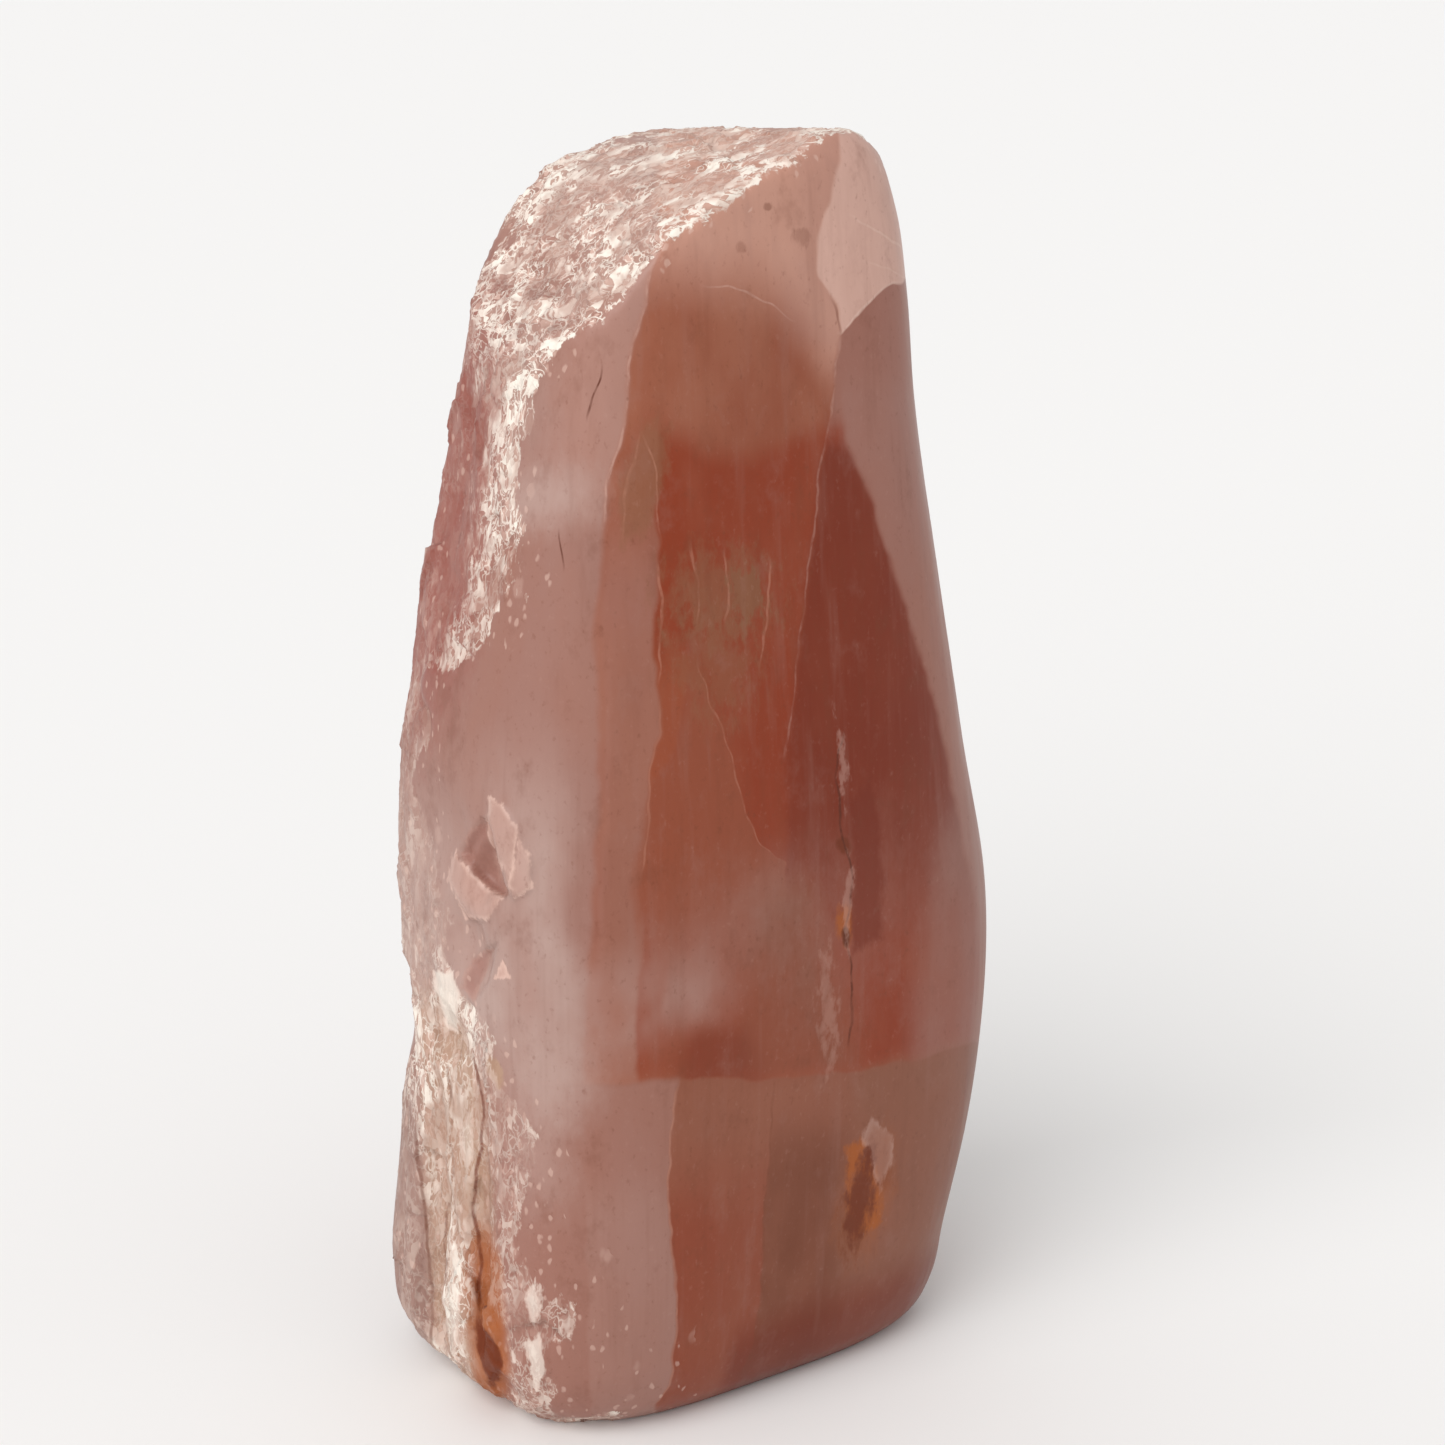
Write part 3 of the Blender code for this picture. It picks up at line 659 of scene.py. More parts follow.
def bruising(points):
    """How bruised the polish is near the broken surface: 1 beside it, and 0 away from it."""
    x, y, z = points.T
    line = smooth_through(BROKEN_LINE_MM, z)
    beside = ease((y - line + BRUISE_MM) / BRUISE_MM) * ease((BRUISE_RIGHT_X_MM - x) / BRUISE_MM)
    beside *= ease((BROKEN_BACK_Y_MM + BRUISE_MM - y) / BRUISE_MM)
    below_top = ease((z - top_break(x, y) + BRUISE_MM) / BRUISE_MM)
    return np.maximum(beside, below_top)


def ridges(mesh):
    """How far each point stands out of the smoothed stone, in millimetres: below 0 in a hollow."""
    points = read_points(mesh) / MM
    normals = read_points(mesh, "normal")
    ends = np.empty(len(mesh.edges) * 2, np.int32)
    mesh.edges.foreach_get("vertices", ends)
    first, second = ends.reshape(-1, 2).T
    count = np.bincount(ends, minlength=len(points))[:, None]
    smoothed = points.copy()
    for _ in range(RIDGE_PASSES):
        total = np.zeros_like(points)
        for axis in range(3):
            total[:, axis] += np.bincount(first, smoothed[second, axis], len(points))
            total[:, axis] += np.bincount(second, smoothed[first, axis], len(points))
        smoothed = total / count
    return ((points - smoothed) * normals).sum(axis=1)


def shard_relief(points):
    """How far the flakes and scars stand out of the surface at each point, in millimetres."""
    shift = np.array([*STONE_SHIFT_MM, GROUND_MM])
    at = points - shift
    places = np.stack([at @ np.array(ACROSS), at @ np.array(UP)], axis=-1)
    relief = np.zeros(len(points))
    for mark in FRONT_MARKS + BREAK_MARKS:
        if isinstance(mark, Shard) and mark.depth:
            inside = np.min([places @ normal - reach for normal, reach in shard_sides(mark)], axis=0)
            relief += mark.depth * ease(inside / SHARD_BLEND_MM + 0.5)
    return relief * (at[:, 1] < SHARD_BACK_Y_MM)


def shard_sides(shard):
    """Each side of a shard: which way is in, and how far along it the side lies."""
    corners = np.array(shard.corners, float)
    after = np.roll(corners, -1, axis=0)
    along = (after - corners) / np.linalg.norm(after - corners, axis=1)[:, None]
    inward = np.stack([-along[:, 1], along[:, 0]], axis=-1)
    if ((corners.mean(axis=0) - corners[0]) @ inward[0]) < 0:
        inward = -inward
    return [(normal, float(normal @ corner)) for normal, corner in zip(inward, corners)]


def divide_faces(mesh):
    """Halves the faces of the broken surface and of the raised flakes and scars, where the chips are
    finest.
    """
    points = read_points(mesh) / MM
    fine = (brokenness(points) > FINE_FROM) | (np.abs(shard_relief(points)) > 0)
    shape = bmesh.new()
    shape.from_mesh(mesh)
    chosen = {
        edge
        for face in shape.faces
        if any(fine[vert.index] for vert in face.verts)
        for edge in face.edges
    }
    bmesh.ops.subdivide_edges(shape, edges=list(chosen), cuts=1, use_grid_fill=True)
    shape.to_mesh(mesh)
    shape.free()


def keep(mesh, name, values):
    """Keeps a number for each point, which the material reads."""
    kept = mesh.attributes.new(name, "FLOAT", "POINT")
    kept.data.foreach_set("value", values.astype(np.float32))


def roughen(mesh, settings):
    """Breaks the broken surface into facets, and puts long waves in the polished one."""
    points = read_points(mesh) / MM
    normals = read_points(mesh, "normal")
    broken = brokenness(points)
    offset = shard_relief(points)
    for k, point in enumerate(points):
        place = Vector(point)
        wave = settings.wave / MM * noise.noise(place / WAVE_LENGTH_MM)
        chips = sum(height * facet(place, size) for size, height in FACETS_MM) if broken[k] > 0 else 0
        offset[k] += settings.roughening * broken[k] * chips + wave
    keep(mesh, "broken", broken)
    keep(mesh, "bruised", bruising(points))
    keep(mesh, "ridge", ridges(mesh))
    points += offset[:, None] * normals
    mesh.vertices.foreach_set("co", (points * MM).astype(np.float32).ravel())
    mesh.update()


def grind_base(mesh):
    """Grinds the foot flat."""
    shape = bmesh.new()
    shape.from_mesh(mesh)
    everything = shape.verts[:] + shape.edges[:] + shape.faces[:]
    level = Vector((0, 0, GROUND_MM * MM))
    cut = bmesh.ops.bisect_plane(
        shape, geom=everything, plane_co=level, plane_no=(0, 0, -1), dist=1e-6, clear_outer=True
    )
    rim = [item for item in cut["geom_cut"] if isinstance(item, bmesh.types.BMEdge)]
    bmesh.ops.contextual_create(shape, geom=rim)
    bmesh.ops.recalc_face_normals(shape, faces=shape.faces)
    shape.to_mesh(mesh)
    shape.free()


def fit_to_box(mesh, low, high):
    """Moves the stone to where its solid stands, and fits it in the solid's box."""
    points = read_points(mesh)
    own_low, own_high = points.min(axis=0), points.max(axis=0)
    low, high = np.array(low), np.array(high)
    points = low + (points - own_low) * (high - low) / (own_high - own_low)
    mesh.vertices.foreach_set("co", points.astype(np.float32).ravel())
    mesh.update()


# Where a mix of each kind has its first input, which its second follows, and its result.
MIX_SOCKETS = {"FLOAT": (2, 0), "VECTOR": (4, 1), "RGBA": (6, 2)}


class Paint:
    """Adds nodes to a tree, each one after those that it reads."""

    def __init__(self, tree):
        self.tree = tree

    def node(self, kind, inputs=None, **settings):
        """A new node, with its inputs and settings."""
        made = self.tree.nodes.new(kind)
        for name, value in settings.items():
            setattr(made, name, value)
        for name, value in (inputs or {}).items():
            self.give(made.inputs[name], value)
        return made

    def give(self, socket, value):
        """Links a socket to another, or sets it to a plain value."""
        if isinstance(value, bpy.types.NodeSocket):
            self.tree.links.new(value, socket)
        else:
            socket.default_value = value

    def use(self, group, inputs):
        """A group's outputs, where it's given these inputs."""
        made = self.node("ShaderNodeGroup", node_tree=group, label=group.name)
        for name, value in inputs.items():
            self.give(made.inputs[name], value)
        return made.outputs

    def math(self, operation, *values):
        """One sum on numbers."""
        return self.node("ShaderNodeMath", dict(enumerate(values)), operation=operation).outputs[0]

    def product(self, *values):
        """The values multiplied together."""
        total = values[0]
        for value in values[1:]:
            total = self.math("MULTIPLY", total, value)
        return total

    def vector(self, operation, *values):
        """One sum on places."""
        made = self.node("ShaderNodeVectorMath", dict(enumerate(values)), operation=operation)
        return made.outputs["Value" if operation == "DOT_PRODUCT" else "Vector"]

    def ramp(self, value, low, high, to_low=0, to_high=1, shape="LINEAR"):
        """A straight line from to_low to to_high, as the value goes from low to high, and on past both."""
        inputs = {"Value": value, "From Min": low, "From Max": high, "To Min": to_low, "To Max": to_high}
        return self.node("ShaderNodeMapRange", inputs, interpolation_type=shape, clamp=False).outputs[0]

    def rise(self, *spans):
        """A smooth rise from to_low to to_high, as the value goes from low to high."""
        return self.ramp(*spans, shape="SMOOTHSTEP")

    def clouds(self, place, size, detail=2, roughness=0.5):
        """Noise from 0 to 1, whose clouds are about this size in millimetres."""
        inputs = {"Vector": place, "Scale": 1 / size, "Detail": detail, "Roughness": roughness}
        return self.node("ShaderNodeTexNoise", inputs)

    def cells(self, place, size):
        """Cells of about this size in millimetres."""
        return self.node("ShaderNodeTexVoronoi", {"Vector": place, "Scale": 1 / size})

    def own_number(self, cells):
        """A random number from 0 to 1 for each cell."""
        return self.node("ShaderNodeSeparateColor", {"Color": cells.outputs["Color"]}).outputs["Red"]

    def mix(self, amount, first, second, kind="RGBA"):
        """The first tint, number or place, with this amount of the second over it."""
        given, result = MIX_SOCKETS[kind]
        inputs = {0: amount, given: first, given + 1: second}
        return self.node("ShaderNodeMix", inputs, data_type=kind).outputs[result]

    def edge(self, share, points, from_span, to_span):
        """Where a drawn edge lies, in millimetres, at this share of the span that it's drawn along."""
        made = self.node("ShaderNodeFloatCurve", {"Value": share})
        curve = made.mapping.curves[0]
        points = sorted(points)
        for k, (place, where) in enumerate(points):
            spot = (
                (place - from_span[0]) / (from_span[1] - from_span[0]),
                (where - to_span[0]) / (to_span[1] - to_span[0]),
            )
            if k < 2:
                curve.points[k].location = spot
            else:
                curve.points.new(*spot)
        made.mapping.extend = "HORIZONTAL"
        made.mapping.update()
        return self.math("MULTIPLY_ADD", made.outputs[0], to_span[1] - to_span[0], to_span[0])


# What the marks of one face read: places across and up it in millimetres, and noise.
WAYS = ("Across", "Up", "Drift Across", "Drift Up")
FACE_SOCKETS = {
    **dict.fromkeys([*WAYS, *(f"{way} Share" for way in WAYS)], "NodeSocketFloat"),
    "Place": "NodeSocketVector",
    "Cloud": "NodeSocketFloat",
    "Rag": "NodeSocketFloat",
}
MARK_SOCKETS = {**FACE_SOCKETS, "Under": "NodeSocketColor"}
TINT_SOCKET = {"Tint": "NodeSocketColor"}


def new_group(name, inputs, outputs):
    """An empty group of nodes, its paint, and its ends."""
    tree = bpy.data.node_groups.new(name, "ShaderNodeTree")
    for label, kind in inputs.items():
        tree.interface.new_socket(label, in_out="INPUT", socket_type=kind)
    for label, kind in outputs.items():
        tree.interface.new_socket(label, in_out="OUTPUT", socket_type=kind)
    paint = Paint(tree)
    return paint, paint.node("NodeGroupInput").outputs, paint.node("NodeGroupOutput").inputs


def past_edge(paint, face, points, level, drifting=""):
    """How far each place lies past a drawn edge: above one that is level, else to the right of it.

    A number in place of points is a straight edge.
    """
    along, aside = ("Across", "Up") if level else ("Up", "Across")
    if isinstance(points, (int, float)):
        return paint.math("SUBTRACT", face[drifting + aside], points)
    spans = (ACROSS_SPAN_MM, UP_SPAN_MM)
    if not level:
        points = [(up, across) for across, up in points]
        spans = spans[::-1]
    where = paint.edge(face[f"{drifting}{along} Share"], points, *spans)
    return paint.math("SUBTRACT", face[drifting + aside], where)


def veil_amount(paint, face, veil):
    """How much of a veil shows at each place."""
    drifting = "Drift " if veil.drift else ""
    amounts = [veil.strength]
    for side, facing, level in (
        (veil.right_of, 1, False), (veil.left_of, -1, False), (veil.above, 1, True), (veil.below, -1, True),
    ):
        if side:
            soft, points = side
            past = past_edge(paint, face, points, level, drifting)
            amounts.append(paint.rise(past, -facing * soft / 2, facing * soft / 2))
    if veil.cloud:
        amounts.append(paint.rise(face["Cloud"], 0.35, 0.65, 1 - veil.cloud, 1))
    return [paint.product(*amounts)]


def patch_amount(paint, face, patch):
    """How much of a patch shows at each place."""
    turn = np.radians(patch.turn)
    aside = paint.vector("SUBTRACT", face["Place"], (*patch.middle, 0))
    width, height = patch.size
    along = paint.vector("DOT_PRODUCT", aside, (np.cos(turn) / width, np.sin(turn) / width, 0))
    over = paint.vector("DOT_PRODUCT", aside, (-np.sin(turn) / height, np.cos(turn) / height, 0))
    reach = paint.math("SQRT", paint.math("MULTIPLY_ADD", along, along, paint.math("MULTIPLY", over, over)))
    ragged = paint.math("MULTIPLY_ADD", face["Rag"], 2 * patch.ragged, reach)
    middle = 1 + patch.ragged
    amount = paint.rise(ragged, middle + patch.soft, middle - patch.soft)
    return [paint.math("MULTIPLY", amount, patch.strength)]


def shard_amount(paint, face, shard):
    """How much of a shard shows at each place, and how much of the painted highlight along its rim."""
    inside = None
    for normal, reach in shard_sides(shard):
        past = paint.math("SUBTRACT", paint.vector("DOT_PRODUCT", face["Place"], (*normal, 0)), reach)
        inside = past if inside is None else paint.math("MINIMUM", inside, past)
    ragged = paint.math("MULTIPLY_ADD", paint.math("SUBTRACT", face["Rag"], 0.5), 2 * shard.ragged, inside)
    amount = paint.rise(ragged, -shard.soft / 2, shard.soft / 2)
    where_highlight_shows = paint.rise(face["Rag"], 0.35, 0.6)
    rim = paint.product(amount, paint.rise(ragged, RIM_HIGHLIGHT_WIDTH_MM, 0), where_highlight_shows, shard.rim)
    return [paint.math("MULTIPLY", amount, shard.strength), rim]


def thread_amount(paint, face, thread):
    """How much of a thread shows at each place."""
    along = face["Across" if thread.level else "Up"]
    low, high = (point[0 if thread.level else 1] for point in (thread.points[0], thread.points[-1]))
    past = paint.math("ABSOLUTE", past_edge(paint, face, thread.points, thread.level))
    ends = paint.product(paint.rise(along, low - 1, low + 2), paint.rise(along, high + 1, high - 2))
    gaps = paint.rise(face["Rag"], 0.4, 0.6, 1 - thread.gaps, 1)
    return [paint.product(paint.rise(past, thread.width, thread.width * 0.2), ends, gaps, thread.strength)]


AMOUNT = {Veil: veil_amount, Patch: patch_amount, Shard: shard_amount, Thread: thread_amount}
# The pale rim of a flake or chip is a painted highlight along its edge.
RIM_HIGHLIGHT_COLOUR = "pale"
RIM_HIGHLIGHT_WIDTH_MM = 0.9


def tint_of(colours, name):
    """A tint as a node takes it."""
    return (*getattr(colours, name), 1)


def mark_group(mark, colours):
    """One mark, laid over the tint that it's given, with a shard's painted rim highlight over that."""
    paint, face, ends = new_group(mark.name, MARK_SOCKETS, TINT_SOCKET)
    amount, *rim = AMOUNT[type(mark)](paint, face, mark)
    tint = paint.mix(amount, face["Under"], tint_of(colours, mark.colour))
    for rim_highlight_amount in rim:
        tint = paint.mix(rim_highlight_amount, tint, tint_of(colours, RIM_HIGHLIGHT_COLOUR))
    paint.give(ends["Tint"], tint)
    return paint.tree


def marks_group(name, marks, colours):
    """All the marks of one face, each laid over those before it."""
    paint, face, ends = new_group(name, MARK_SOCKETS, TINT_SOCKET)
    under = face["Under"]
    for mark in marks:
        inputs = {label: face[label] for label in FACE_SOCKETS}
        under = paint.use(mark_group(mark, colours), {**inputs, "Under": under})["Tint"]
    paint.give(ends["Tint"], under)
    return paint.tree


def make_drifts(paint, place):
    """How far the marks are shifted across and up: a little, so that no edge is quite true, and far."""
    drifts = []
    for size, reach in DRIFTS_MM:
        shifted = paint.clouds(place, size, roughness=0.6).outputs["Color"]
        split = paint.node("ShaderNodeSeparateColor", {"Color": shifted})
        drifts.append([
            paint.math("MULTIPLY_ADD", split.outputs[name], reach, -reach / 2) for name in ("Red", "Green")
        ])
    return drifts


def make_face(paint, across, up, drifts, cloud, rag):
    """Lays a face out, with its places shifted."""
    near = [paint.math("ADD", value, drift) for value, drift in zip((across, up), drifts[0])]
    far = [paint.math("ADD", value, drift) for value, drift in zip(near, drifts[1])]
    places = near + far
    spans = (ACROSS_SPAN_MM, UP_SPAN_MM) * 2
    shares = [paint.ramp(value, *span) for value, span in zip(places, spans)]
    flat = paint.node("ShaderNodeCombineXYZ", {"X": near[0], "Y": near[1]}).outputs[0]
    return dict(zip(FACE_SOCKETS, (*places, *shares, flat, cloud, rag)))


def shell_lines(paint, place, size, width):
    """Thin curved lines, like the edges of shell-shaped flakes; the frost lays them on partly as white
    edges and partly as painted glints.
    """
    clouds = paint.clouds(place, size).outputs["Fac"]
    return paint.rise(paint.math("ABSOLUTE", paint.math("SUBTRACT", clouds, 0.5)), width, width * 0.15)


def tilted_flakes(paint, place, size):
    """Height of flat flakes, each tilted its own way, and a number of its own for each flake."""
    cells = paint.cells(place, size)
    aside = paint.vector("SUBTRACT", place, cells.outputs["Position"])
    tilt = paint.vector("SUBTRACT", cells.outputs["Color"], (0.5, 0.5, 0.5))
    return paint.vector("DOT_PRODUCT", aside, tilt), paint.own_number(cells)


SURFACE_SOCKETS = {
    "Place": "NodeSocketVector",
    "Ridge": "NodeSocketFloat",
    "Smooth": "NodeSocketFloat",
    "Under": "NodeSocketColor",
}
# How far the flakes of the broken side and top are drawn out: less than 1 is longer that way.
SIDE_GRAIN = (1, 1, 0.5)
TOP_GRAIN = (0.45, 0.8, 1)
# Where the two grains meet, in millimetres, the heights between which one gives way to the other, and how
# far noise shifts those.
GRAIN_MEETING = (-30, -5, 155)
GRAIN_CHANGE_MM = (153, 157)
GRAIN_RAG_MM = 6
# Noise that is drawn out upwards: its grain, its size in millimetres, its detail and its roughness.
CLOUDS = ((1, 1, 0.55), 13, 3, 0.6)
WISPS = ((1, 1, 0.7), 6, 4, 0.7)
FINE_GRAIN = ((1, 1, 0.7), 0.9, 2, 0.7)
RAGGED_EDGES = ((1, 1, 0.5), 1.6, 3, 0.65)
BANDS = ((1, 1, 0.06), 3, 3, 0.65)
# Streaks of noise in the clear stone: the values of the noise where each starts to show and shows in full,
# how much it shows, and its tint.
WISP_STREAKS = ((0.52, 0.72, 0.15, "mauve"), (0.45, 0.28, 0.22, "umber"))
GRAIN_STREAKS = ((0.58, 0.85, 0.09, "petal"), (0.42, 0.2, 0.3, "umber"))
BAND_STREAKS = ((0.5, 0.75, 0.16, "mauve"), (0.5, 0.25, 0.16, "umber"))
# Two drifts of the marks, one little and one far: the size of their clouds, and how far they shift.
DRIFTS_MM = ((9, 2.8), (22, 16))
# Flakes of the broken surface: sizes in millimetres, and how strongly each tilts it.
LARGE_FLAKE_MM = 2.6
SMALL_FLAKE_MM = 0.9
LARGE_TILT = 0.32
SMALL_TILT = 0.3
# Shell-shaped lines on the broken surface: size in millimetres, and width as a share of it.
LARGE_LINES = (2.2, 0.035)
SMALL_LINES = (0.9, 0.045)
# Chips in the polish beside the broken surface: size in millimetres, how few there are, and their strength.
# Then how they are drawn out, and where the rim of each starts and ends.
CHIPS = ((2.2, 0.9, 0.2), (0.9, 0.84, 0.4))
CHIP_GRAIN = (1, 1, 0.6)
CHIP_RIM = (0.5, 0.25)
# How flakes and chips are bent: the size of the noise in millimetres, and its reach.
FLAKE_BEND_MM = (2.2, 1.6)
CHIP_BEND_MM = (1.2, 1)
# Where flakes crowd: the noise's size, detail and roughness, what a ridge adds to it, the values between
# which they crowd, and how far a smooth place is cleared of them.
FROST_CLOUDS = (6, 3, 0.7)
CROWDING = 0.2
CROWDED = (0.4, 0.62)
CLEARING = 0.92
# How much the frost veils the tint under it, from least to most: flake by flake, and place by place.
FLAKE_VEIL = (0.05, 0.7)
PLACE_VEIL = (0.1, 1)
# Which flakes are pale and which carry painted glints, by their own numbers, and how strongly the marks on
# them show.
PALE_FLAKES = (0.45, 0.9)
PALE_STRENGTH = 0.8
PAINTED_GLINTS = (0.34, 0.46)
# The bright shell lines are partly white flake edges and partly painted glints.
LINE_STRENGTH = 0.85
SPARSE_STRENGTH = 0.25
# The edge of the frost: how noise shifts it, how sharp it is, and where the surface counts as broken.
FROST_RAG = (0.3, 0.7, -0.5, 0.5)
FROST_EDGE = (0.35, 0.65)
FROST_FROM = 0.1
# The front's marks give way to the back's between these, after the clouds' share is added.
FRONT_FACING = (0, 0.3)
FACING_CLOUD = 0.5
# The stone goes from rose to plum between these values of its clouds.
PLUM_CLOUDS = (0.35, 0.68)
# The finish: how rough the polish is over the values of its bands, how rough the frost is, and how much of
# the relief is left in a smooth place.
POLISH = (0.3, 0.7, 0.3, 0.44)
FROST_ROUGHNESS = 0.5
SMOOTH_RELIEF = 0.3
QUARTZ_IOR = 1.54
QUARTZ_SHINE = 0.25


def drawn_out(paint, place, grain, *clouds):
    """Noise whose clouds are drawn out along the grain."""
    return paint.clouds(paint.vector("MULTIPLY", place, grain), *clouds).outputs["Fac"]


def streaked(paint, tint, noise_value, streaks, colours):
    """The tint, with streaks of noise over it."""
    for low, high, strength, name in streaks:
        tint = paint.mix(paint.rise(noise_value, low, high, 0, strength), tint, tint_of(colours, name))
    return tint


def bend(paint, place, size, reach):
    """Places shifted about by noise."""
    noise_colour = paint.clouds(place, size, 1).outputs["Color"]
    return paint.vector("ADD", place, paint.vector("MULTIPLY", noise_colour, (reach, reach, reach)))


def smooth_group():
    """How smooth the broken side is: 1 in its clear hollows."""
    paint, face, ends = new_group("smooth places", FACE_SOCKETS, {"Smooth": "NodeSocketFloat"})
    smooth = 0
    for place in SMOOTH_PLACES:
        smooth = paint.math("MAXIMUM", smooth, *patch_amount(paint, face, place))
    paint.give(ends["Smooth"], smooth)
    return paint.tree


def frost_group(colours):
    """A broken surface: its tint, with painted glints, and its relief in millimetres. Its flakes crowd
    along the ridges.
    """
    paint, given, ends = new_group("frost", SURFACE_SOCKETS, {**TINT_SOCKET, "Relief": "NodeSocketFloat"})
    place = bend(paint, given["Place"], *FLAKE_BEND_MM)
    large, large_own = tilted_flakes(paint, place, LARGE_FLAKE_MM)
    small, small_own = tilted_flakes(paint, place, SMALL_FLAKE_MM)
    lines = paint.math(
        "MAXIMUM", shell_lines(paint, place, *LARGE_LINES), shell_lines(paint, place, *SMALL_LINES)
    )
    rough = paint.math("SUBTRACT", 1, paint.math("MULTIPLY", given["Smooth"], CLEARING))
    patches = paint.clouds(place, *FROST_CLOUDS).outputs["Fac"]
    crowded = paint.math("MULTIPLY_ADD", given["Ridge"], CROWDING, patches)
    dense = paint.math("MULTIPLY", paint.rise(crowded, *CROWDED), rough)
    veiled = paint.product(paint.ramp(large_own, 0, 1, *FLAKE_VEIL), paint.ramp(rough, 0, 1, *PLACE_VEIL))
    tint = paint.mix(veiled, given["Under"], tint_of(colours, "frost"))
    flaked = paint.product(paint.rise(small_own, *PALE_FLAKES), dense, PALE_STRENGTH)
    tint = paint.mix(flaked, tint, tint_of(colours, "pale"))
    # Painted glints: flakes whose own numbers fall in a band take the snow tint, standing in for light
    # glinting off them.
    painted_glints = paint.rise(paint.math("MULTIPLY", large_own, small_own), *PAINTED_GLINTS)
    lines_and_painted_glints = paint.math("MAXIMUM", paint.math("MULTIPLY", lines, LINE_STRENGTH), painted_glints)
    shown = paint.math("MAXIMUM", dense, paint.math("MULTIPLY", rough, SPARSE_STRENGTH))
    tint = paint.mix(paint.math("MULTIPLY", lines_and_painted_glints, shown), tint, tint_of(colours, "snow_and_glint"))
    paint.give(ends["Tint"], tint)
    relief = paint.math("MULTIPLY_ADD", small, SMALL_TILT, paint.math("MULTIPLY", large, LARGE_TILT))
    paint.give(ends["Relief"], relief)
    return paint.tree


def fleck_group(colours):
    """Faint wisps and grain inside the clear stone."""
    sockets = {key: SURFACE_SOCKETS[key] for key in ("Place", "Under")}
    paint, given, ends = new_group("flecks", sockets, TINT_SOCKET)
    wisps, grain = (drawn_out(paint, given["Place"], *clouds) for clouds in (WISPS, FINE_GRAIN))
    tint = streaked(paint, given["Under"], wisps, WISP_STREAKS, colours)
    paint.give(ends["Tint"], streaked(paint, tint, grain, GRAIN_STREAKS, colours))
    return paint.tree


def chips_group(colours):
    """Small chips in the polish beside the broken surface."""
    sockets = {key: SURFACE_SOCKETS[key] for key in ("Place", "Ridge", "Under")}
    paint, given, ends = new_group("chips", sockets, TINT_SOCKET)
    under = given["Under"]
    place = bend(paint, paint.vector("MULTIPLY", given["Place"], CHIP_GRAIN), *CHIP_BEND_MM)
    for size, few, strength in CHIPS:
        cells = paint.cells(place, size)
        enough = paint.mix(given["Ridge"], 1, few, "FLOAT")
        chosen = paint.math("GREATER_THAN", paint.own_number(cells), enough)
        middle = paint.rise(cells.outputs["Distance"], *CHIP_RIM)
        under = paint.mix(paint.product(chosen, middle, strength), under, tint_of(colours, "pale"))
    paint.give(ends["Tint"], under)
    return paint.tree


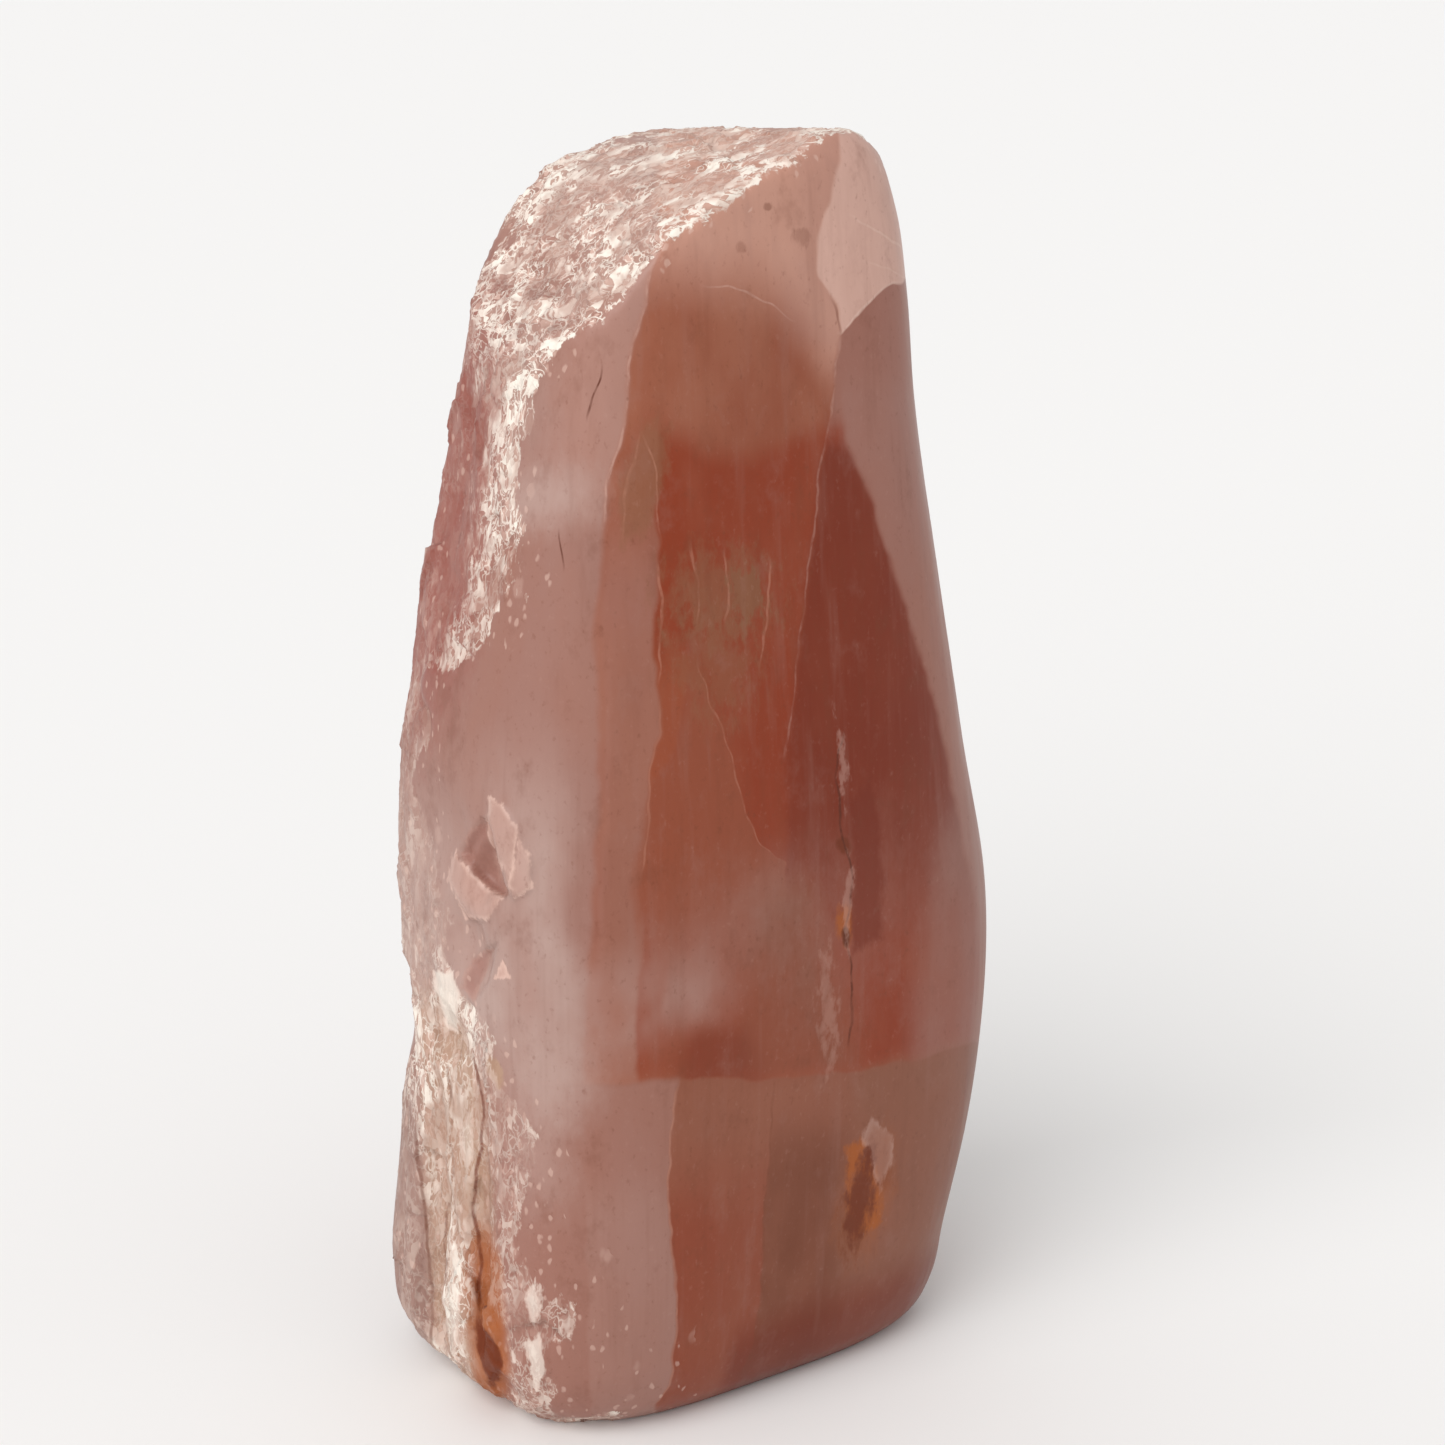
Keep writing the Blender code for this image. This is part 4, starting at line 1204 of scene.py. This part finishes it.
def stone_material(colours):
    """Rose quartz: tinted veils and stains under the polish, and frosted where it broke."""
    material = bpy.data.materials.new("rose quartz")
    material.use_nodes = True
    paint = Paint(material.node_tree)
    seat = paint.node("ShaderNodeTexCoord").outputs
    place = paint.vector("MULTIPLY", seat["Object"], (1 / MM, 1 / MM, 1 / MM))
    across = paint.vector("DOT_PRODUCT", place, tuple(ACROSS))
    up = paint.vector("DOT_PRODUCT", place, tuple(UP))
    facing = paint.vector("DOT_PRODUCT", seat["Normal"], (OUT.x, OUT.y, 0))
    x, _, z = paint.node("ShaderNodeSeparateXYZ", {"Vector": place}).outputs

    cloud, rag, bands = (drawn_out(paint, place, *clouds) for clouds in (CLOUDS, RAGGED_EDGES, BANDS))
    base = paint.mix(paint.rise(cloud, *PLUM_CLOUDS), tint_of(colours, "rose"), tint_of(colours, "plum"))

    drifts = make_drifts(paint, place)
    front_face = make_face(paint, across, up, drifts, cloud, rag)
    smooth = paint.use(smooth_group(), front_face)["Smooth"]
    front = paint.use(marks_group("front", FRONT_MARKS, colours), {**front_face, "Under": base})["Tint"]
    back_face = make_face(paint, x, z, drifts, cloud, rag)
    back = paint.use(marks_group("back", BACK_MARKS, colours), {**back_face, "Under": base})["Tint"]
    to_front = paint.rise(paint.math("MULTIPLY_ADD", cloud, FACING_CLOUD, facing), *FRONT_FACING)
    tint = paint.mix(to_front, back, front)

    broken, bruised, ridge = (
        paint.node("ShaderNodeAttribute", attribute_name=name).outputs["Fac"]
        for name in ("broken", "bruised", "ridge")
    )
    tint = streaked(paint, tint, bands, BAND_STREAKS, colours)
    tint = paint.use(fleck_group(colours), {"Place": place, "Under": tint})["Tint"]
    tint = paint.use(chips_group(colours), {"Place": place, "Ridge": bruised, "Under": tint})["Tint"]

    ragged = paint.math("ADD", broken, paint.ramp(rag, *FROST_RAG))
    frosted = paint.math("MULTIPLY", paint.rise(ragged, *FROST_EDGE), paint.rise(broken, 0, FROST_FROM))
    on_top = paint.rise(paint.math("MULTIPLY_ADD", rag, GRAIN_RAG_MM, z), *GRAIN_CHANGE_MM)
    aside = paint.vector("SUBTRACT", place, GRAIN_MEETING)
    surface = {
        "Place": paint.vector("MULTIPLY", aside, paint.mix(on_top, SIDE_GRAIN, TOP_GRAIN, "VECTOR")),
        "Ridge": ridge,
        "Smooth": smooth,
        "Under": tint,
    }
    frost = paint.use(frost_group(colours), surface)
    tint = paint.mix(frosted, tint, frost["Tint"])
    marked = paint.use(marks_group("break", BREAK_MARKS, colours), {**front_face, "Under": tint})["Tint"]
    tint = paint.mix(to_front, tint, marked)
    chipped = paint.node("ShaderNodeBump", {
        "Strength": paint.math("MULTIPLY", frosted, paint.ramp(smooth, 0, 1, 1, SMOOTH_RELIEF)),
        "Distance": MM,
        "Height": frost["Relief"],
    }).outputs[0]
    rough = paint.mix(frosted, paint.rise(bands, *POLISH), FROST_ROUGHNESS, "FLOAT")

    shader = material.node_tree.nodes["Principled BSDF"].inputs
    paint.give(shader["Base Color"], tint)
    paint.give(shader["Roughness"], rough)
    paint.give(shader["Normal"], chipped)
    shader["IOR"].default_value = QUARTZ_IOR
    shader["Specular IOR Level"].default_value = QUARTZ_SHINE
    return material


class ROSEQUARTZ_OT_stone(bpy.types.Operator):
    """Build the stone, with its broken side and top and the marks inside it"""

    bl_idname = "rosequartz.stone"
    bl_label = "Build Stone"

    def execute(self, context):
        settings = context.scene.rose_quartz
        if settings.shape.voxel <= 0:
            raise ValueError("the face size has to be above zero")
        stone = put_in_scene(PIECE, loft(polished_form()))
        break_away(stone, settings.shape)
        divide_faces(stone.data)
        roughen(stone.data, settings.shape)
        grind_base(stone.data)
        fit_to_box(stone.data, *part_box(CAD_NODE))
        stone.data.shade_smooth()
        stone.data.materials.clear()
        stone.data.materials.append(stone_material(settings.colours))
        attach(stone, "root")
        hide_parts(CAD_NODE)
        return {"FINISHED"}


# The photograph's view: the camera looks along the grain, from this far, at a point on the stone's axis.
CAMERA_TARGET = Vector((-STONE_SHIFT_MM[0], -STONE_SHIFT_MM[1], 90)) * MM
CAMERA_DISTANCE = 520 * MM
SENSOR_MM = 36
PHOTO_WIDTH_PX = 1445
FOCAL_PX = 3640
SHIFT_PX = (32, 50)

FLOOR_HALF = 8
FLOOR_SQUARES = 8
# The key light comes from here, and is this soft.
KEY_FROM = Vector((-0.72, -0.28, 0.64))
KEY_ANGLE = np.radians(50)


def aim(thing, target):
    """Turns a camera or light to look at the target."""
    thing.rotation_mode = "QUATERNION"
    thing.rotation_quaternion = (target - thing.location).to_track_quat("-Z", "Y")


def add_floor(settings):
    """A plain pale floor."""
    shape = bmesh.new()
    bmesh.ops.create_grid(shape, x_segments=FLOOR_SQUARES, y_segments=FLOOR_SQUARES, size=FLOOR_HALF)
    floor = put_in_scene("floor", mesh_from(shape, "floor"))
    material = bpy.data.materials.new("pale floor")
    material.use_nodes = True
    shader = material.node_tree.nodes["Principled BSDF"].inputs
    shader["Base Color"].default_value = (*settings.floor, 1)
    shader["Roughness"].default_value = 0.8
    floor.data.materials.append(material)


def add_key(strength):
    """The soft light at the upper left."""
    light = bpy.data.lights.new("key", "SUN")
    light.energy = strength
    light.angle = KEY_ANGLE
    key = put_in_scene("key", light)
    key.location = KEY_FROM
    aim(key, Vector())


def add_camera():
    """The camera, where the photograph was taken from."""
    camera = put_in_scene("camera", bpy.data.cameras.new("camera"))
    camera.location = CAMERA_TARGET + OUT * CAMERA_DISTANCE
    aim(camera, CAMERA_TARGET)
    camera.data.sensor_width = SENSOR_MM
    camera.data.lens = SENSOR_MM * FOCAL_PX / PHOTO_WIDTH_PX
    camera.data.shift_x, camera.data.shift_y = (shift / PHOTO_WIDTH_PX for shift in SHIFT_PX)
    camera.data.clip_start = 0.01
    bpy.context.scene.camera = camera


class ROSEQUARTZ_OT_stage(bpy.types.Operator):
    """Set the stone in a pale studio, with a camera at its front left"""

    bl_idname = "rosequartz.stage"
    bl_label = "Build Stage"

    def execute(self, context):
        settings = context.scene.rose_quartz.stage
        add_floor(settings)
        add_key(settings.key)
        world = bpy.data.worlds.new("studio")
        world.use_nodes = True
        sky = world.node_tree.nodes["Background"].inputs
        sky["Color"].default_value = (1, 1, 1, 1)
        sky["Strength"].default_value = settings.sky
        context.scene.world = world
        context.scene.view_settings.view_transform = "Standard"
        add_camera()
        return {"FINISHED"}


class ROSEQUARTZ_PT_panel(bpy.types.Panel):
    """The stone's sizes, tints and studio"""

    bl_idname = "ROSEQUARTZ_PT_panel"
    bl_label = "Rose Quartz"
    bl_space_type = "VIEW_3D"
    bl_region_type = "UI"
    bl_category = "Rose Quartz"

    def draw(self, context):
        settings = context.scene.rose_quartz
        for title, group, operator in (
            ("Stone", settings.shape, ROSEQUARTZ_OT_stone),
            ("Tints", settings.colours, None),
            ("Studio", settings.stage, ROSEQUARTZ_OT_stage),
        ):
            box = self.layout.box()
            box.label(text=title)
            for name in group.__annotations__:
                box.prop(group, name)
            if operator:
                box.operator(operator.bl_idname)


CLASSES = (
    RoseQuartzShape,
    RoseQuartzColours,
    RoseQuartzStage,
    RoseQuartzSettings,
    ROSEQUARTZ_OT_stone,
    ROSEQUARTZ_OT_stage,
    ROSEQUARTZ_PT_panel,
)


def register():
    for kind in CLASSES:
        bpy.utils.register_class(kind)
    bpy.types.Scene.rose_quartz = PointerProperty(type=RoseQuartzSettings)


def unregister():
    del bpy.types.Scene.rose_quartz
    for kind in reversed(CLASSES):
        bpy.utils.unregister_class(kind)


def main():
    register()
    bpy.ops.rosequartz.stone()
    bpy.ops.rosequartz.stage()


if __name__ == "__main__":
    main()
